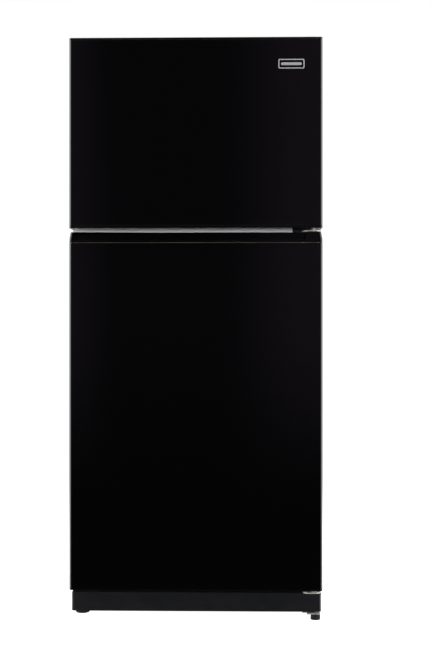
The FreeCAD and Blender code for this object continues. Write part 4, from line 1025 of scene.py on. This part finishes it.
class REFRIGERATOR_OT_cabinet(bpy.types.Operator):
    """Outer panels, liners, frame and kick plate"""
    bl_idname = "refrigerator.cabinet"
    bl_label = "Cabinet"

    def execute(self, context):
        for node in ("side_panel_left", "side_panel_right", "top_panel"):
            soften(node, 0.0007, 3)
        soften("rear_panel", 0.0004, 2)
        rail = soften("mid_rail", 0.0004, 2)
        # The plate behind the pale strip gets the dark cabinet paint, which here also stands as painted
        # shade in the gap between the doors beside the middle hinge.
        rail.data.materials.append(finish("cabinet_paint"))
        for face in rail.data.polygons:
            if face.center.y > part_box("side_panel_left")[0][1] - 0.0003:
                face.material_index = 1
        soften("base_frame", 0.0003, 1)
        soften("kick_plate", 0.0005, 2)
        for node in ("freezer_liner", "fridge_liner"):
            soften(node, 0.0007, 3)
        soften("evaporator_cover", 0.0005, 2)
        return {"FINISHED"}


class REFRIGERATOR_OT_hinges(bpy.types.Operator):
    """Hinge leaves, their screws and the cover on top"""
    bl_idname = "refrigerator.hinges"
    bl_label = "Hinges"

    def execute(self, context):
        for node in ("top_hinge", "middle_hinge", "bottom_hinge"):
            soften(node, 0.0005, 3)
        soften("hinge_screws", 0.0004, 2)
        soften("top_hinge_cover", 0.0016, 4)
        return {"FINISHED"}


class REFRIGERATOR_OT_feet(bpy.types.Operator):
    """Ribbed levelling feet and rear rollers"""
    bl_idname = "refrigerator.feet"
    bl_label = "Feet and rollers"

    def execute(self, context):
        settings = context.scene.refrigerator_feet
        for node, tall in KNOB_HEIGHTS:
            low, high = map(Vector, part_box(node))
            centre = (low + high) / 2
            radius = (high.x - low.x) / 2
            base = Vector((centre.x, centre.y, low.z + tall / 2))
            knob = disc(node + "_knob", base, radius, tall, 2 * settings.ribs)
            step = math.pi / settings.ribs

            def rib(middle, normal):
                turn = math.atan2(middle.y - centre.y, middle.x - centre.x) + math.pi
                return abs(normal.z) < 0.1 and int(turn / step) % 2
            pick(knob, "FACE", rib)
            bpy.ops.mesh.inset(thickness=0.0002, depth=-settings.rib_depth, use_individual=True)
            done()
            apply(knob, "BEVEL", width=0.0006, segments=2, limit_method="ANGLE",
                  angle_limit=math.radians(50))
            deliver(knob, node)
            stem = disc(node + "_stem", (centre.x, centre.y, (low.z + tall + high.z) / 2 - 0.0005),
                        STEM_RADIUS, high.z - low.z - tall + 0.001, 24)
            bevel(stem, 0.0008, 2, lambda a, b: min(a.z, b.z) > high.z - 0.001)
            detail(stem, node, slot="zinc_steel")
        for side in ("left", "right"):
            soften(f"rear_roller_{side}", 0.0006, 3)
        return {"FINISHED"}


class REFRIGERATOR_OT_cooling(bpy.types.Operator):
    """Compressor, condenser, lines and fan"""
    bl_idname = "refrigerator.cooling"
    bl_label = "Cooling"

    def execute(self, context):
        soften("compressor", 0.0012, 2)
        soften("terminal_cover", 0.0015, 3)
        soften("evaporation_pan", 0.0008, 2)
        for node in ("compressor_mounts", "power_cord_gland"):
            soften(node, 0.0008, 3)
        for node in ("condenser_coil", "condenser_rack", "refrigerant_lines", "evaporator", "fan_motor",
                     "evaporator_fan"):
            soften(node, 0)
        low, high = map(Vector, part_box("compressor"))
        centre = (low + high) / 2
        seam = disc("compressor_seam", (centre.x, centre.y, SEAM_LEVEL), SEAM_RADIUS, SEAM_HEIGHT, 72)
        bevel(seam, 0.0018, 3, lambda a, b: abs(a.z - b.z) < SAME)
        detail(seam, "compressor")
        return {"FINISHED"}


class REFRIGERATOR_OT_finishes(bpy.types.Operator):
    """A finish on every frame node that still shows"""
    bl_idname = "refrigerator.finishes"
    bl_label = "Finishes"

    def execute(self, context):
        for name, node in NODES.items():
            material = finish(SLOT_OF[name])
            if not node.material_slots:
                node.data.materials.append(material)
            for slot in node.material_slots:
                slot.material = material
        return {"FINISHED"}


OPERATORS = (
    REFRIGERATOR_OT_stage, REFRIGERATOR_OT_doors, REFRIGERATOR_OT_door_caps,
    REFRIGERATOR_OT_badge, REFRIGERATOR_OT_door_liners, REFRIGERATOR_OT_gaskets,
    REFRIGERATOR_OT_bins, REFRIGERATOR_OT_shelves, REFRIGERATOR_OT_crispers,
    REFRIGERATOR_OT_controls, REFRIGERATOR_OT_cabinet, REFRIGERATOR_OT_hinges,
    REFRIGERATOR_OT_feet, REFRIGERATOR_OT_cooling, REFRIGERATOR_OT_finishes)
SETTINGS = {"refrigerator_stage": StageSettings, "refrigerator_doors": DoorSettings,
            "refrigerator_bins": BinSettings, "refrigerator_badge": BadgeSettings,
            "refrigerator_feet": FootSettings}


class REFRIGERATOR_PT_panel(bpy.types.Panel):
    """Lists the sizes and the steps that build the refrigerator"""
    bl_label = "Refrigerator"
    bl_idname = "REFRIGERATOR_PT_panel"
    bl_space_type = "VIEW_3D"
    bl_region_type = "UI"
    bl_category = "Refrigerator"

    def draw(self, context):
        for name, settings in SETTINGS.items():
            column = self.layout.column(align=True)
            for size in settings.__annotations__:
                column.prop(getattr(context.scene, name), size)
        for operator in OPERATORS:
            self.layout.operator(operator.bl_idname)


CLASSES = (*SETTINGS.values(), *OPERATORS, REFRIGERATOR_PT_panel)


def register():
    for item in CLASSES:
        bpy.utils.register_class(item)
    for name, settings in SETTINGS.items():
        setattr(bpy.types.Scene, name, bpy.props.PointerProperty(type=settings))


def unregister():
    for name in SETTINGS:
        delattr(bpy.types.Scene, name)
    for item in reversed(CLASSES):
        bpy.utils.unregister_class(item)


def main():
    register()
    for item in OPERATORS:
        group, name = item.bl_idname.split(".")
        getattr(getattr(bpy.ops, group), name)()


if __name__ == "__main__":
    main()
